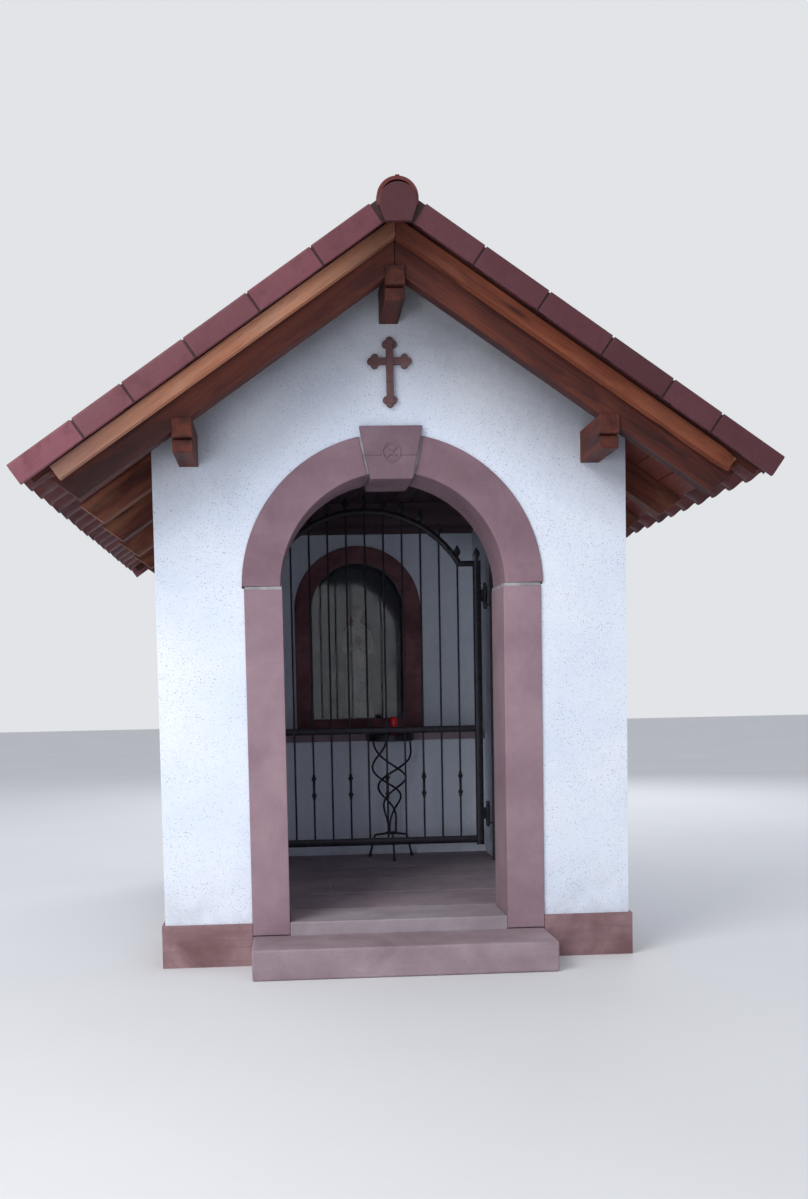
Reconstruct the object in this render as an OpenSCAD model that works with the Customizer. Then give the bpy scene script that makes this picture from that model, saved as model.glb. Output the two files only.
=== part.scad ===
// Wayside shrine with a gabled tile roof, a round-arched stone doorway and an iron gate.
// Millimetres, +Z up, the front faces -Y. The origin is the middle of the walls' footprint
// at ground level. Depths named *_y are measured from the front wall's outer face.

/* [Walls] */
// Outer width of the rendered walls
wall_width = 2210; // [1800:10:2800]
// Thickness of all four walls
wall_thick = 300; // [200:5:400]
// Height of the sandstone plinth strip
plinth_height = 200; // [100:5:350]
// How far the plinth stands out from the render
plinth_proud = 15; // [5:1:40]
// Height of the room floor over the ground
floor_height = 201; // [150:1:300]

/* [Doorway] */
// Clear width between the two door jambs
door_width = 1036; // [800:2:1200]
// Height of the spring line of the arch
spring_height = 1770; // [1500:5:2000]
// Width of a door jamb seen from the front
jamb_width = 178; // [120:1:240]
// How much wider the arch ring is than a jamb, on its outer side
arch_widening = 10; // [0:1:30]
// How much the arch ring is set back from the jamb, on its inner side
arch_setback = 8; // [2:1:20]
// How far the stone surround stands out from the render
surround_proud = 12; // [4:1:30]
// Half of the angle that the keystone covers
keystone_half_angle = 11.3; // [6:0.1:16]
// Height of the keystone's underside below the arch crown
keystone_drop = 36; // [10:1:60]
// Height of the keystone's top over the arch ring
keystone_rise = 28; // [5:1:60]
// How far the keystone stands out from the arch ring
keystone_proud = 22; // [5:1:50]
// Diameter of the raised ring on the keystone
ornament_size = 92; // [50:1:120]
// Height of the raised ornament over the keystone's face
ornament_rise = 5; // [2:0.5:10]
// How far each end of the entrance step is set in from the outer side of the jamb
step_inset = 3; // [-200:1:120]
// Height of the entrance step
step_height = 139; // [100:1:200]
// Depth of the entrance step in front of the jambs
step_depth = 308; // [220:1:420]

/* [Gable cross] */
// Height of the gable cross
cross_height = 321; // [200:1:450]
// Gap between the keystone's top and the cross
cross_clear = 84; // [40:1:110]
// Share of the cross's height at which its arms lie
cross_arm_share = 0.655; // [0.55:0.005:0.75]
// Width across the arms of the cross
cross_width = 206; // [140:1:300]
// Width of the bars of the cross
cross_bar = 32; // [20:1:50]
// Thickness of the bars of the cross
cross_thick = 20; // [10:1:40]
// Radius of each bud at the ends of the cross
bud_radius = 17; // [10:0.5:24]
// Gap between the cross and the wall
cross_standoff = 10; // [5:1:30]

/* [Roof timber] */
// Roof pitch
roof_pitch = 34.7; // [28:0.1:42]
// Height over the keystone's top where the undersides of the rafters would meet
apex_rise = 591; // [560:1:700]
// Depth of a rafter square to the slope
rafter_deep = 130; // [90:1:180]
// Width of a rafter
rafter_width = 80; // [50:1:120]
// Distance from the middle to the lowest point of a rafter tail
rafter_reach = 1385; // [1250:5:1500]
// Angle of the cut of the rafter tails over the horizontal
tail_cut_angle = 36; // [20:1:60]
// Number of rafter pairs
rafter_pairs = 6; // [4:1:8]
// Overhang of the first rafter in front of the wall
front_rafter_out = 336; // [250:1:450]
// Overhang of the last rafter behind the wall
back_rafter_out = 228; // [150:1:350]
// Width of a purlin
purlin_width = 88; // [60:1:140]
// Height of a purlin
purlin_high = 145; // [100:1:200]
// How far the side purlins lie inside the middle of the side walls
purlin_inset = 20; // [-40:1:60]
// How far the side purlins are let into the rafters
side_notch = 28; // [10:1:45]
// How far the ridge purlin reaches up between the rafters
ridge_notch = 22; // [5:1:60]
// How far the purlin heads stand out from the first rafter
purlin_proud = 9; // [3:1:40]
// Height of the upper block of a purlin head
purlin_block = 84; // [40:1:110]
// Set back of the lower block of a purlin head
purlin_setback = 24; // [8:1:50]
// Height of the groove between the two blocks
purlin_groove = 6; // [3:1:15]
// Thickness of the roof boards
board_thick = 20; // [15:1:30]
// Thickness of a verge board along the building
verge_board_thick = 50; // [20:1:80]
// Height of a verge board square to the slope
verge_board_high = 66; // [40:1:120]

/* [Tile cover] */
// Thickness of the tiles with their battens, square to the slope
cover_thick = 80; // [50:1:110]
// Distance from the middle to the lower edge of the tiles
eave_reach = 1597; // [1520:1:1700]
// Overhang of the tiles in front of the wall
front_overhang = 508; // [420:1:650]
// Overhang of the tiles behind the wall
back_overhang = 400; // [320:1:500]
// Height of the upright face of a verge tile square to the slope
verge_face_high = 99; // [80:1:130]
// Thickness of the verge tiles
verge_thick = 20; // [12:1:30]
// How far the face of the verge tiles hangs below the cover
verge_lap = 5; // [2:1:30]
// Outer radius of the ridge tiles
ridge_radius = 92; // [70:1:120]
// Thickness of the ridge tiles
ridge_thick = 14; // [8:1:20]
// Clearance between the sloping layers of the roof
seat_gap = 0.3; // [0.1:0.1:0.9]
// How far the middle of the ridge tiles lies below the point where the tile slopes meet
ridge_sink = 42; // [30:1:60]
// Thickness of the plates that close the ridge ends
end_plate_thick = 22; // [12:1:40]
// Radius of the round head of an end plate
end_plate_radius = 80; // [60:1:110]
// How far the foot of an end plate lies below the middle of the ridge tiles
end_plate_drop = 107; // [80:1:150]
// Half width of the foot of an end plate
end_plate_half = 56; // [30:1:90]

/* [Room] */
// How far the flat part of the ceiling lies below the point where the rafters would meet
ceiling_drop = 520; // [495:1:565]
// Thickness of the ceiling boards
ceiling_thick = 20; // [12:1:30]
// Height of the beam on the back wall under the flat ceiling
beam_high = 210; // [120:1:240]
// Thickness of the beam on the back wall
beam_thick = 60; // [30:1:100]
// Depth of the altar block from the back wall
altar_depth = 380; // [250:5:500]
// Height of the top of the altar slab over the ground
altar_top = 1010; // [900:1:1100]
// Thickness of the altar slab
slab_thick = 52; // [30:1:80]
// How far the altar slab stands out from its block
slab_lip = 30; // [10:1:60]
// Free floor between the candle stand and the altar slab
altar_clear = 18; // [5:1:600]

/* [Niche] */
// Half width of the glazed niche opening
niche_half = 318; // [240:1:380]
// Gap between the altar slab and the lower band of the niche frame
niche_rise = 21; // [5:1:60]
// Gap between the top of the niche frame and the beam on the back wall
niche_clear = 76; // [20:1:150]
// Width of the sandstone frame round the niche
niche_frame_width = 118; // [80:1:160]
// How far the niche frame stands out from the back wall
niche_frame_proud = 18; // [8:1:40]
// Height of the lower band of the niche frame
niche_band = 68; // [40:1:80]
// Depth of the niche behind the wall face
niche_depth = 210; // [120:5:240]
// Thickness of the niche glass
glass_thick = 6; // [4:1:10]
// Height of the figure in the niche
figure_height = 780; // [500:10:850]

/* [Gate] */
// Gap between the open gate leaf and the inner face of the front wall
swing_clear = 28; // [10:1:200]
// Gap between the gate leaf and the side walls
leaf_clear = 83; // [70:1:120]
// Width of the leaf's two stiles
stile_width = 45; // [30:1:60]
// Thickness of the stiles
stile_thick = 40; // [20:1:50]
// Thickness of the rails
rail_thick = 30; // [15:1:40]
// Height of the underside of the bottom rail
bottom_rail_foot = 316; // [260:1:380]
// Height of the bottom rail
bottom_rail_high = 44; // [25:1:60]
// Height of the underside of the mid rail
mid_rail_foot = 1018; // [950:1:1100]
// Height of the mid rail
mid_rail_high = 40; // [25:1:60]
// How far the stiles reach below the bottom rail
stile_drop = 12; // [2:1:40]
// Gap between the ceiling and the middle line of the arched top rail
rail_clear = 175; // [150:1:280]
// How much the radius of the arched top rail is less than half the leaf
rail_inset = 32; // [10:1:80]
// Height of the top rail's section
top_rail_high = 34; // [20:1:50]
// How far the level ends of the top rail lie below its peak
shoulder_fall = 332; // [300:1:380]
// Diameter of the round bars
bar_diameter = 12; // [8:0.5:20]
// Distance from the middle of the last bar to the stile
bar_margin = 99; // [60:1:130]
// Number of bars on each side of the middle bar
bars_per_side = 5; // [3:1:5]
// Diameter of the knots on every other bar
knot_diameter = 28; // [18:1:40]
// Height of the lower knot
lower_knot = 639; // [500:1:700]
// Distance between the two knots of a pair
knot_pitch = 103; // [60:1:160]
// Height of a spear head with its neck
spear_high = 86; // [60:1:95]
// Width of a spear head
spear_width = 44; // [24:1:60]
// Thickness of a spear head
spear_thick = 8; // [5:1:12]
// How deep the foot of a spear head reaches into the rail's edge before it is cut to it
spear_seat = 6; // [3:1:12]

/* [Gate hinges] */
// Diameter of the hinge pins
pin_diameter = 14; // [10:1:20]
// Radial clearance between pin and knuckle
pin_clearance = 0.05; // [0.02:0.01:0.1]
// Outer diameter of the knuckles
knuckle_diameter = 26; // [22:1:30]
// Height of a knuckle
knuckle_high = 110; // [60:1:140]
// Height of the middle of the lower hinge
lower_hinge = 500; // [420:1:600]
// How far the upper hinge lies below the level ends of the top rail
upper_hinge_drop = 198; // [140:1:360]
// Diameter of the balls on the hinge pins
ball_diameter = 24; // [18:1:30]
// Gap between the gate post and the side wall
post_clear = 2; // [1:1:6]
// Side of the square gate post
post_side = 25; // [18:1:28]
// How far the gate post reaches up over the middle of the upper hinge
post_over = 231; // [180:1:300]
// Thickness of the hinge arms and wall brackets of the post
pin_rest = 12; // [6:1:20]

/* [Candle stand] */
// Sideways position of the candle stand
stand_x = 155; // [-300:5:300]
// Gap between the candle stand's tray and the gate's stiles
stand_clear = 32; // [10:1:100]
// Radius of the tray
tray_radius = 160; // [120:1:162]
// Height of the rim of the tray over the ground
tray_top = 1005; // [900:1:1100]
// Height of the tray
tray_high = 42; // [20:1:60]
// Wall thickness of the tray
tray_wall = 4; // [2:0.5:8]
// Radius of the rods of the stand
rod_radius = 7; // [5:0.5:10]
// Distance of the feet from the stand's axis
foot_reach = 160; // [120:1:170]
// Distance of the knees of the legs from the stand's axis
knee_reach = 125; // [80:1:140]
// How far the knees of the legs lie below the hub
knee_fall = 24; // [5:1:60]
// Height of the hub over the floor, where the legs and the stems meet
hub_rise = 165; // [100:1:220]
// Distance of the strands from the stand's axis at the hub
strand_root = 28; // [16:1:60]
// Distance of the strands from the stand's axis under the tray
strand_reach = 138; // [80:1:148]
// Turn of the strands between the hub and the tray
strand_turn = 375; // [0:5:400]
// Turn of the first strand under the tray
strand_start = 65; // [0:5:120]
// Radius of the votive candle
candle_radius = 26; // [20:1:40]
// Height of the votive candle
candle_high = 112; // [60:1:160]
// Sideways position of the candle on the tray
candle_shift = 27; // [-80:1:80]

/* [Hidden] */
$fn = 72;
arch_fineness = 360;
half_width = wall_width / 2;
room_half = half_width - wall_thick;
leaf_half = room_half - leaf_clear;
post_x = room_half - post_clear - post_side;
hinge_x = (leaf_half + post_x) / 2;
gate_y = wall_thick + swing_clear + leaf_half + hinge_x;
stand_y = gate_y + stile_thick / 2 + stand_clear + tray_radius;
back_face_y = stand_y + tray_radius + altar_clear + slab_lip + altar_depth;
wall_depth = back_face_y + wall_thick;
front_face = -wall_depth / 2;
door_half = door_width / 2;
jamb_outer = door_half + jamb_width;
arch_inner = door_half + arch_setback;
arch_outer = jamb_outer + arch_widening;
pitch_tan = tan(roof_pitch);
pitch_cos = cos(roof_pitch);
pitch_sin = sin(roof_pitch);
seat_drop = seat_gap / pitch_cos;
keystone_top = spring_height + arch_outer + keystone_rise;
cross_foot_height = keystone_top + cross_clear;
rafter_apex = keystone_top + apex_rise;
purlin_reach = room_half + wall_thick / 2 - purlin_inset;
side_purlin_top = roof_z(rafter_apex, purlin_reach) + side_notch;
ridge_purlin_top = rafter_apex + ridge_notch;
rafter_top_apex = rafter_apex + rafter_deep / pitch_cos;
board_top_apex = rafter_top_apex + board_thick / pitch_cos;
cover_top_apex = board_top_apex + cover_thick / pitch_cos;
ridge_axis_height = cover_top_apex - ridge_sink;
end_plate_foot = ridge_axis_height - end_plate_drop;
verge_bottom_apex = board_top_apex - verge_lap / pitch_cos;
verge_top_apex = verge_bottom_apex + verge_face_high / pitch_cos;
verge_board_rise = 14;
verge_board_apex = board_top_apex - (verge_board_high - verge_board_rise) / pitch_cos;
roof_front_y = -front_overhang;
roof_back_y = wall_depth + back_overhang;
first_rafter_y = -front_rafter_out;
last_rafter_y = wall_depth + back_rafter_out - rafter_width;
rafter_step = (last_rafter_y - first_rafter_y) / (rafter_pairs - 1);
tail_length = (rafter_top_apex - rafter_apex) / (sin(tail_cut_angle) + pitch_tan * cos(tail_cut_angle));
tail_x = rafter_reach + tail_length * cos(tail_cut_angle);
verge_board_gap = 20;
board_front_y = first_rafter_y - verge_board_gap;
board_back_y = last_rafter_y + rafter_width + verge_board_gap;
purlin_front_y = first_rafter_y - purlin_proud;
purlin_back_y = last_rafter_y + rafter_width + purlin_proud;
mitre_gap = 1;
fit_gap = 1;
reach_over = front_overhang;
rise_over = 2 * cover_top_apex;
ceiling_height = rafter_apex - ceiling_drop;
beam_foot = ceiling_height - beam_high;
niche_sill = altar_top + niche_rise + niche_band;
niche_spring = beam_foot - niche_clear - niche_frame_width - niche_half;
top_rail_peak = ceiling_height - rail_clear;
top_rail_radius = leaf_half - rail_inset;
shoulder_height = top_rail_peak - shoulder_fall;
bar_spacing = (leaf_half - stile_width - bar_margin) / bars_per_side;
top_rail_axis = top_rail_peak - top_rail_radius;
shoulder_drop = top_rail_axis - shoulder_height;
shoulder_x = sqrt(pow(top_rail_radius, 2) - pow(shoulder_drop, 2));
stile_top = shoulder_height + top_rail_high / 2;
stile_foot = bottom_rail_foot - stile_drop;
upper_hinge = shoulder_height - upper_hinge_drop;
strand_parts = 10;
strand_joint = 1.15 * rod_radius;
seam_turn = 90;

// Height of a line of the roof that has the given apex, over the distance x from the middle
function roof_z(apex, x) = apex - abs(x) * pitch_tan;

// Moves depths measured from the front wall's face into the shared frame
module from_front() { translate([0, front_face, 0]) children(); }

// Extrudes an upright outline in x and z from depth y0 to depth y1
module along_y(y0, y1) {
  translate([0, y1, 0]) rotate([90, 0, 0]) linear_extrude(height = y1 - y0) children();
}

// Puts a piece and its mirror image on both sides of the middle
module both_sides() {
  children();
  mirror([1, 0, 0]) children();
}

// A box given by its corners
module block(x0, x1, y0, y1, z0, z1) {
  translate([x0, y0, z0]) cube([x1 - x0, y1 - y0, z1 - z0]);
}

// Outline of one right-hand layer of the roof, square cut at the eave
module slope_outline(low_apex, high_apex, reach) {
  deep = (high_apex - low_apex) * pitch_cos;
  polygon([[mitre_gap, roof_z(low_apex, mitre_gap)], [reach, roof_z(low_apex, reach)],
           [reach + deep * pitch_sin, roof_z(low_apex, reach) + deep * pitch_cos],
           [mitre_gap, roof_z(high_apex, mitre_gap)]]);
}

// Outline of a right-hand rafter with its cut tail
module rafter_outline() {
  polygon([[mitre_gap, roof_z(rafter_apex, mitre_gap)], [rafter_reach, roof_z(rafter_apex, rafter_reach)],
           [tail_x, roof_z(rafter_top_apex, tail_x)], [mitre_gap, roof_z(rafter_top_apex, mitre_gap)]]);
}

// Outline of a purlin seen from the side, with the stepped heads at both ends
module purlin_outline(top) {
  low = top - purlin_high;
  step_z = top - purlin_block;
  front = purlin_front_y;
  back = purlin_back_y;
  polygon([[front, top], [front, step_z], [front + 2 * purlin_setback, step_z],
           [front + 2 * purlin_setback, step_z - purlin_groove],
           [front + purlin_setback, step_z - purlin_groove], [front + purlin_setback, low],
           [back - purlin_setback, low], [back - purlin_setback, step_z - purlin_groove],
           [back - 2 * purlin_setback, step_z - purlin_groove],
           [back - 2 * purlin_setback, step_z], [back, step_z], [back, top]]);
}

// A purlin at the distance x from the middle
module purlin(x, top) {
  translate([x - purlin_width / 2, 0, 0]) rotate([90, 0, 90])
    linear_extrude(height = purlin_width) purlin_outline(top);
}

// Room that the purlins take in walls and rafters
module purlin_room() {
  for (p = [[0, ridge_purlin_top], [purlin_reach, side_purlin_top], [-purlin_reach, side_purlin_top]])
    block(p[0] - purlin_width / 2, p[0] + purlin_width / 2, purlin_front_y - reach_over,
          purlin_back_y + reach_over, p[1] - purlin_high, p[1]);
}

// Everything under a line of the roof, to cut walls to the gable's shape
module under_roof(apex) {
  along_y(-reach_over, wall_depth + reach_over)
    polygon([[0, apex], [half_width + reach_over, roof_z(apex, half_width + reach_over)],
             [half_width + reach_over, -reach_over], [-half_width - reach_over, -reach_over],
             [-half_width - reach_over, roof_z(apex, half_width + reach_over)]]);
}

// Outline of an arched opening that reaches down to the height foot
module arched_outline(half, spring, foot) {
  translate([0, spring]) circle(r = half);
  translate([-half, foot]) square([2 * half, spring - foot]);
}

// Wedge that the keystone takes out of the arch ring
module keystone_wedge(low, high) {
  spread = tan(keystone_half_angle);
  polygon([[-low * spread, spring_height + low], [low * spread, spring_height + low],
           [high * spread, spring_height + high], [-high * spread, spring_height + high]]);
}

module plinth_front() {
  color("#8f5b4a") from_front() both_sides()
    block(jamb_outer, half_width + plinth_proud, -plinth_proud, wall_thick, 0, plinth_height);
}

module plinth_sides() {
  color("#8f5b4a") from_front() both_sides()
    block(room_half, half_width + plinth_proud, wall_thick, back_face_y, 0, plinth_height);
}

module plinth_back() {
  color("#8f5b4a") from_front()
    block(-half_width - plinth_proud, half_width + plinth_proud, back_face_y,
          wall_depth + plinth_proud, 0, plinth_height);
}

module front_wall_piers() {
  color("#eceae6") from_front() both_sides()
    block(jamb_outer, half_width, 0, wall_thick, plinth_height, spring_height);
}

module front_gable() {
  color("#eceae6") from_front() difference() {
    intersection() {
      block(-half_width, half_width, 0, wall_thick, spring_height, rise_over);
      under_roof(rafter_top_apex - seat_drop);
    }
    along_y(-reach_over, wall_thick + reach_over) translate([0, spring_height]) circle(r = arch_outer);
    along_y(-reach_over, wall_thick + reach_over)
      keystone_wedge(arch_inner, arch_outer + keystone_rise);
    purlin_room();
  }
}

module side_walls() {
  color("#eceae6") from_front() both_sides() difference() {
    intersection() {
      block(room_half, half_width, wall_thick, back_face_y, plinth_height, rise_over);
      under_roof(rafter_apex - seat_drop);
    }
    purlin_room();
  }
}

module back_wall() {
  color("#eceae6") from_front() difference() {
    intersection() {
      block(-half_width, half_width, back_face_y, wall_depth, plinth_height, rise_over);
      under_roof(rafter_top_apex - seat_drop);
    }
    along_y(back_face_y - fit_gap, back_face_y + niche_depth)
      arched_outline(niche_half, niche_spring, niche_sill);
    purlin_room();
  }
}

module door_jambs() {
  color("#b98a80") from_front() both_sides()
    block(door_half, jamb_outer, -surround_proud, wall_thick, 0, spring_height);
}

module door_arch() {
  spread = tan(keystone_half_angle);
  color("#b98a80") from_front() both_sides() along_y(-surround_proud, wall_thick) intersection() {
    translate([0, spring_height]) difference() {
      circle(r = arch_outer, $fn = arch_fineness);
      circle(r = arch_inner, $fn = arch_fineness);
    }
    polygon([[0, spring_height], [rise_over, spring_height], [rise_over, spring_height + rise_over],
             [rise_over * spread, spring_height + rise_over]]);
  }
}

module keystone() {
  low = arch_inner - keystone_drop;
  high = arch_outer + keystone_rise;
  face_y = -surround_proud - keystone_proud;
  middle_z = spring_height + (low + high) / 2;
  color("#b98a80") from_front() {
    along_y(face_y, wall_thick) keystone_wedge(low, high);
    along_y(face_y - ornament_rise, face_y) translate([0, middle_z]) difference() {
      circle(r = ornament_size / 2);
      circle(r = ornament_size / 2 - 2 * ornament_rise);
    }
    along_y(face_y - ornament_rise, face_y) translate([0, middle_z])
      for (a = [0, 90]) rotate(a + 45)
        square([ornament_size - 3 * ornament_rise, 2 * ornament_rise], center = true);
  }
}

module threshold() {
  color("#c7b199") from_front()
    block(-door_half, door_half, -surround_proud, wall_thick, 0, floor_height);
}

module entrance_step() {
  color("#b79a86") from_front()
    block(step_inset - jamb_outer, jamb_outer - step_inset, -surround_proud - step_depth,
          -surround_proud, 0, step_height);
}

module floor_slab() {
  color("#a88a78") from_front()
    block(-room_half, room_half, wall_thick, back_face_y, 0, floor_height);
}

// One trefoil end of the cross, built upwards
module bud_end() {
  translate([0, bud_radius]) circle(r = bud_radius);
  translate([bud_radius, 0]) circle(r = bud_radius);
  translate([-bud_radius, 0]) circle(r = bud_radius);
}

module gable_cross() {
  front = -cross_standoff - cross_thick;
  middle = cross_foot_height + cross_height / 2;
  arm_z = cross_foot_height + cross_height * cross_arm_share;
  bud_out = 2 * bud_radius;
  long_half = cross_height / 2 - bud_out;
  arm_half = cross_width / 2 - bud_out;
  boss = cross_bar / 3;
  color("#7f6d62") from_front() {
    along_y(front, -cross_standoff) {
      translate([-arm_half, arm_z - cross_bar / 2]) square([2 * arm_half, cross_bar]);
      translate([arm_half, arm_z]) rotate(-90) bud_end();
      translate([-arm_half, arm_z]) rotate(90) bud_end();
      translate([-cross_bar / 2, middle - long_half]) square([cross_bar, 2 * long_half]);
      translate([0, middle + long_half]) bud_end();
      translate([0, middle - long_half]) rotate(180) bud_end();
    }
    along_y(front - cross_thick / 4, front)
      translate([-cross_bar / 2, middle - long_half]) square([cross_bar, 2 * long_half]);
    along_y(-cross_standoff, 0) translate([0, arm_z]) circle(r = boss);
    along_y(-cross_standoff, 0) translate([0, cross_foot_height + bud_out]) circle(r = boss);
  }
}

module ridge_purlin() {
  color("#6b3f2c") from_front() purlin(0, ridge_purlin_top);
}

module side_purlins() {
  color("#6b3f2c") from_front() both_sides() purlin(purlin_reach, side_purlin_top);
}

// A pair of rafters whose front is at the depth y
module rafter_pair(y) {
  both_sides() difference() {
    along_y(y, y + rafter_width) rafter_outline();
    purlin_room();
  }
}

module front_rafters() {
  color("#6a3b28") from_front() rafter_pair(first_rafter_y);
}

module rear_rafters() {
  color("#7d4a31") from_front()
    for (i = [1 : rafter_pairs - 1]) rafter_pair(first_rafter_y + i * rafter_step);
}

module roof_boards() {
  color("#8a5236") from_front() along_y(board_front_y, board_back_y) both_sides()
    slope_outline(rafter_top_apex, board_top_apex, tail_x);
}

module verge_boards() {
  low = verge_board_apex;
  high = verge_board_apex + verge_board_high / pitch_cos;
  reach = rafter_reach + (tail_x - rafter_reach) / 2;
  color("#b5734a") from_front() {
    along_y(board_front_y - verge_board_thick, board_front_y) both_sides() slope_outline(low, high, reach);
    along_y(board_back_y, board_back_y + verge_board_thick) both_sides() slope_outline(low, high, reach);
  }
}

module tile_cover() {
  color("#7c2f26") from_front()
    along_y(board_front_y, board_back_y) both_sides()
      slope_outline(board_top_apex + seat_drop, cover_top_apex, eave_reach);
}

module verge_tiles() {
  flange = verge_thick / pitch_cos;
  lap_reach = eave_reach + (verge_face_high - verge_thick) * pitch_sin;
  color("#6f2420") from_front() both_sides() {
    along_y(roof_front_y, roof_front_y + verge_thick)
      slope_outline(verge_bottom_apex, verge_top_apex, eave_reach);
    along_y(roof_front_y + verge_thick, board_front_y)
      slope_outline(verge_top_apex - flange, verge_top_apex, lap_reach);
    along_y(roof_back_y - verge_thick, roof_back_y)
      slope_outline(verge_bottom_apex, verge_top_apex, eave_reach);
    along_y(board_back_y, roof_back_y - verge_thick)
      slope_outline(verge_top_apex - flange, verge_top_apex, lap_reach);
  }
}

// Section of the ridge tiles over a surface whose slopes meet at the height seat_apex
module ridge_outline(seat_apex) {
  bare_apex = seat_apex + seat_drop;
  wide = 2 * ridge_radius;
  difference() {
    translate([0, ridge_axis_height]) {
      circle(r = ridge_radius);
      translate([-ridge_radius, -ridge_radius]) square([wide, ridge_radius]);
    }
    translate([0, ridge_axis_height]) {
      circle(r = ridge_radius - ridge_thick);
      translate([ridge_thick - ridge_radius, -wide]) square([wide - 2 * ridge_thick, wide]);
    }
    polygon([[0, bare_apex], [wide, roof_z(bare_apex, wide)], [wide, 0], [-wide, 0],
             [-wide, roof_z(bare_apex, wide)]]);
  }
}

module ridge_tiles() {
  color("#7c2f26") from_front() {
    along_y(roof_front_y, board_front_y) ridge_outline(verge_top_apex);
    along_y(board_front_y, board_back_y) ridge_outline(cover_top_apex);
    along_y(board_back_y, roof_back_y) ridge_outline(verge_top_apex);
  }
}

// Outline of the plate that closes an end of the ridge
module end_plate_outline() {
  head_z = end_plate_foot + end_plate_radius;
  translate([0, head_z]) circle(r = end_plate_radius);
  polygon([[-end_plate_half, end_plate_foot], [end_plate_half, end_plate_foot],
           [end_plate_radius, head_z], [-end_plate_radius, head_z]]);
}

module ridge_end_plates() {
  color("#6f2420") from_front() {
    along_y(roof_front_y - end_plate_thick, roof_front_y) end_plate_outline();
    along_y(roof_back_y, roof_back_y + end_plate_thick) end_plate_outline();
  }
}

// Outline under the ceiling boards, or under their upper side
module ceiling_outline(height, apex) {
  flat_half = (apex - height) / pitch_tan;
  polygon([[-flat_half, height], [flat_half, height], [room_half, roof_z(apex, room_half)],
           [room_half, plinth_height], [-room_half, plinth_height], [-room_half, roof_z(apex, room_half)]]);
}

module ceiling_boards() {
  color("#5a3a2a") from_front() along_y(wall_thick, back_face_y) difference() {
    ceiling_outline(ceiling_height + ceiling_thick, rafter_apex - fit_gap);
    ceiling_outline(ceiling_height, rafter_apex - fit_gap - ceiling_thick / pitch_cos);
  }
}

module back_beam() {
  color("#4d3224") from_front() along_y(back_face_y - beam_thick, back_face_y) intersection() {
    ceiling_outline(ceiling_height, rafter_apex - fit_gap - ceiling_thick / pitch_cos);
    translate([-room_half, beam_foot]) square([2 * room_half, ceiling_height]);
  }
}

module altar_block() {
  color("#ece9e4") from_front()
    block(-room_half, room_half, back_face_y - altar_depth, back_face_y, floor_height,
          altar_top - slab_thick);
}

module altar_slab() {
  color("#b0937e") from_front()
    block(-room_half, room_half, back_face_y - altar_depth - slab_lip, back_face_y,
          altar_top - slab_thick, altar_top);
}

module niche_frame() {
  outer = niche_half + niche_frame_width;
  color("#a2564a") from_front() along_y(back_face_y - niche_frame_proud, back_face_y) difference() {
    arched_outline(outer, niche_spring, niche_sill - niche_band);
    arched_outline(niche_half, niche_spring, niche_sill);
  }
}

module niche_figure() {
  head_radius = figure_height / 14;
  robe_radius = niche_depth * 0.4;
  neck_z = figure_height - 2 * head_radius;
  collar = head_radius / 5;
  color("#c9bcae") from_front()
    translate([0, back_face_y + niche_depth / 2 + glass_thick, niche_sill]) {
      rotate_extrude() polygon([[0, 0], [robe_radius, 0], [robe_radius * 0.86, figure_height * 0.3],
        [robe_radius * 0.7, figure_height * 0.55], [robe_radius * 0.8, figure_height * 0.74],
        [robe_radius * 0.5, neck_z - collar], [head_radius * 0.5, neck_z],
        [head_radius * 0.5, neck_z + 2.5 * collar], [0, neck_z + 2.5 * collar]]);
      translate([0, 0, figure_height - head_radius]) sphere(r = head_radius);
    }
}

module niche_glass() {
  color("#9fb4bc", 0.35) from_front() along_y(back_face_y, back_face_y + glass_thick)
    arched_outline(niche_half - fit_gap, niche_spring, niche_sill);
}

module gate_post() {
  axis = [hinge_x, gate_y, 0];
  arm_low = pin_rest + knuckle_high / 2;
  color("#3c3a38") from_front() {
    block(post_x, post_x + post_side, gate_y - post_side / 2, gate_y + post_side / 2, floor_height,
          upper_hinge + post_over);
    for (z = [lower_hinge, upper_hinge]) {
      translate(axis) translate([0, 0, z - arm_low]) cylinder(h = pin_rest, d = ball_diameter);
      block(hinge_x, post_x + post_side / 2, gate_y - pin_rest / 2, gate_y + pin_rest / 2,
            z - arm_low, z - knuckle_high / 2);
      translate(axis) translate([0, 0, z - arm_low])
        cylinder(h = arm_low + knuckle_high / 2 + fit_gap + pin_rest, d = pin_diameter);
      translate(axis) translate([0, 0, z - arm_low - ball_diameter / 3]) sphere(d = ball_diameter);
      translate(axis) translate([0, 0, z + knuckle_high / 2 + fit_gap + ball_diameter / 2])
        sphere(d = ball_diameter);
      block(post_x + post_side / 2, room_half, gate_y - pin_rest / 2, gate_y + pin_rest / 2,
            z + knuckle_high, z + knuckle_high + pin_rest);
    }
  }
}

// Outline of the arched top rail with its two level ends
module top_rail_outline() {
  half = top_rail_high / 2;
  intersection() {
    difference() {
      translate([0, top_rail_axis]) circle(r = top_rail_radius + half);
      translate([0, top_rail_axis]) circle(r = top_rail_radius - half);
    }
    translate([-leaf_half, shoulder_height - half]) square([2 * leaf_half, top_rail_peak]);
  }
  both_sides() translate([shoulder_x, shoulder_height - half])
    square([leaf_half - stile_width / 2 - shoulder_x, top_rail_high]);
}

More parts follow.
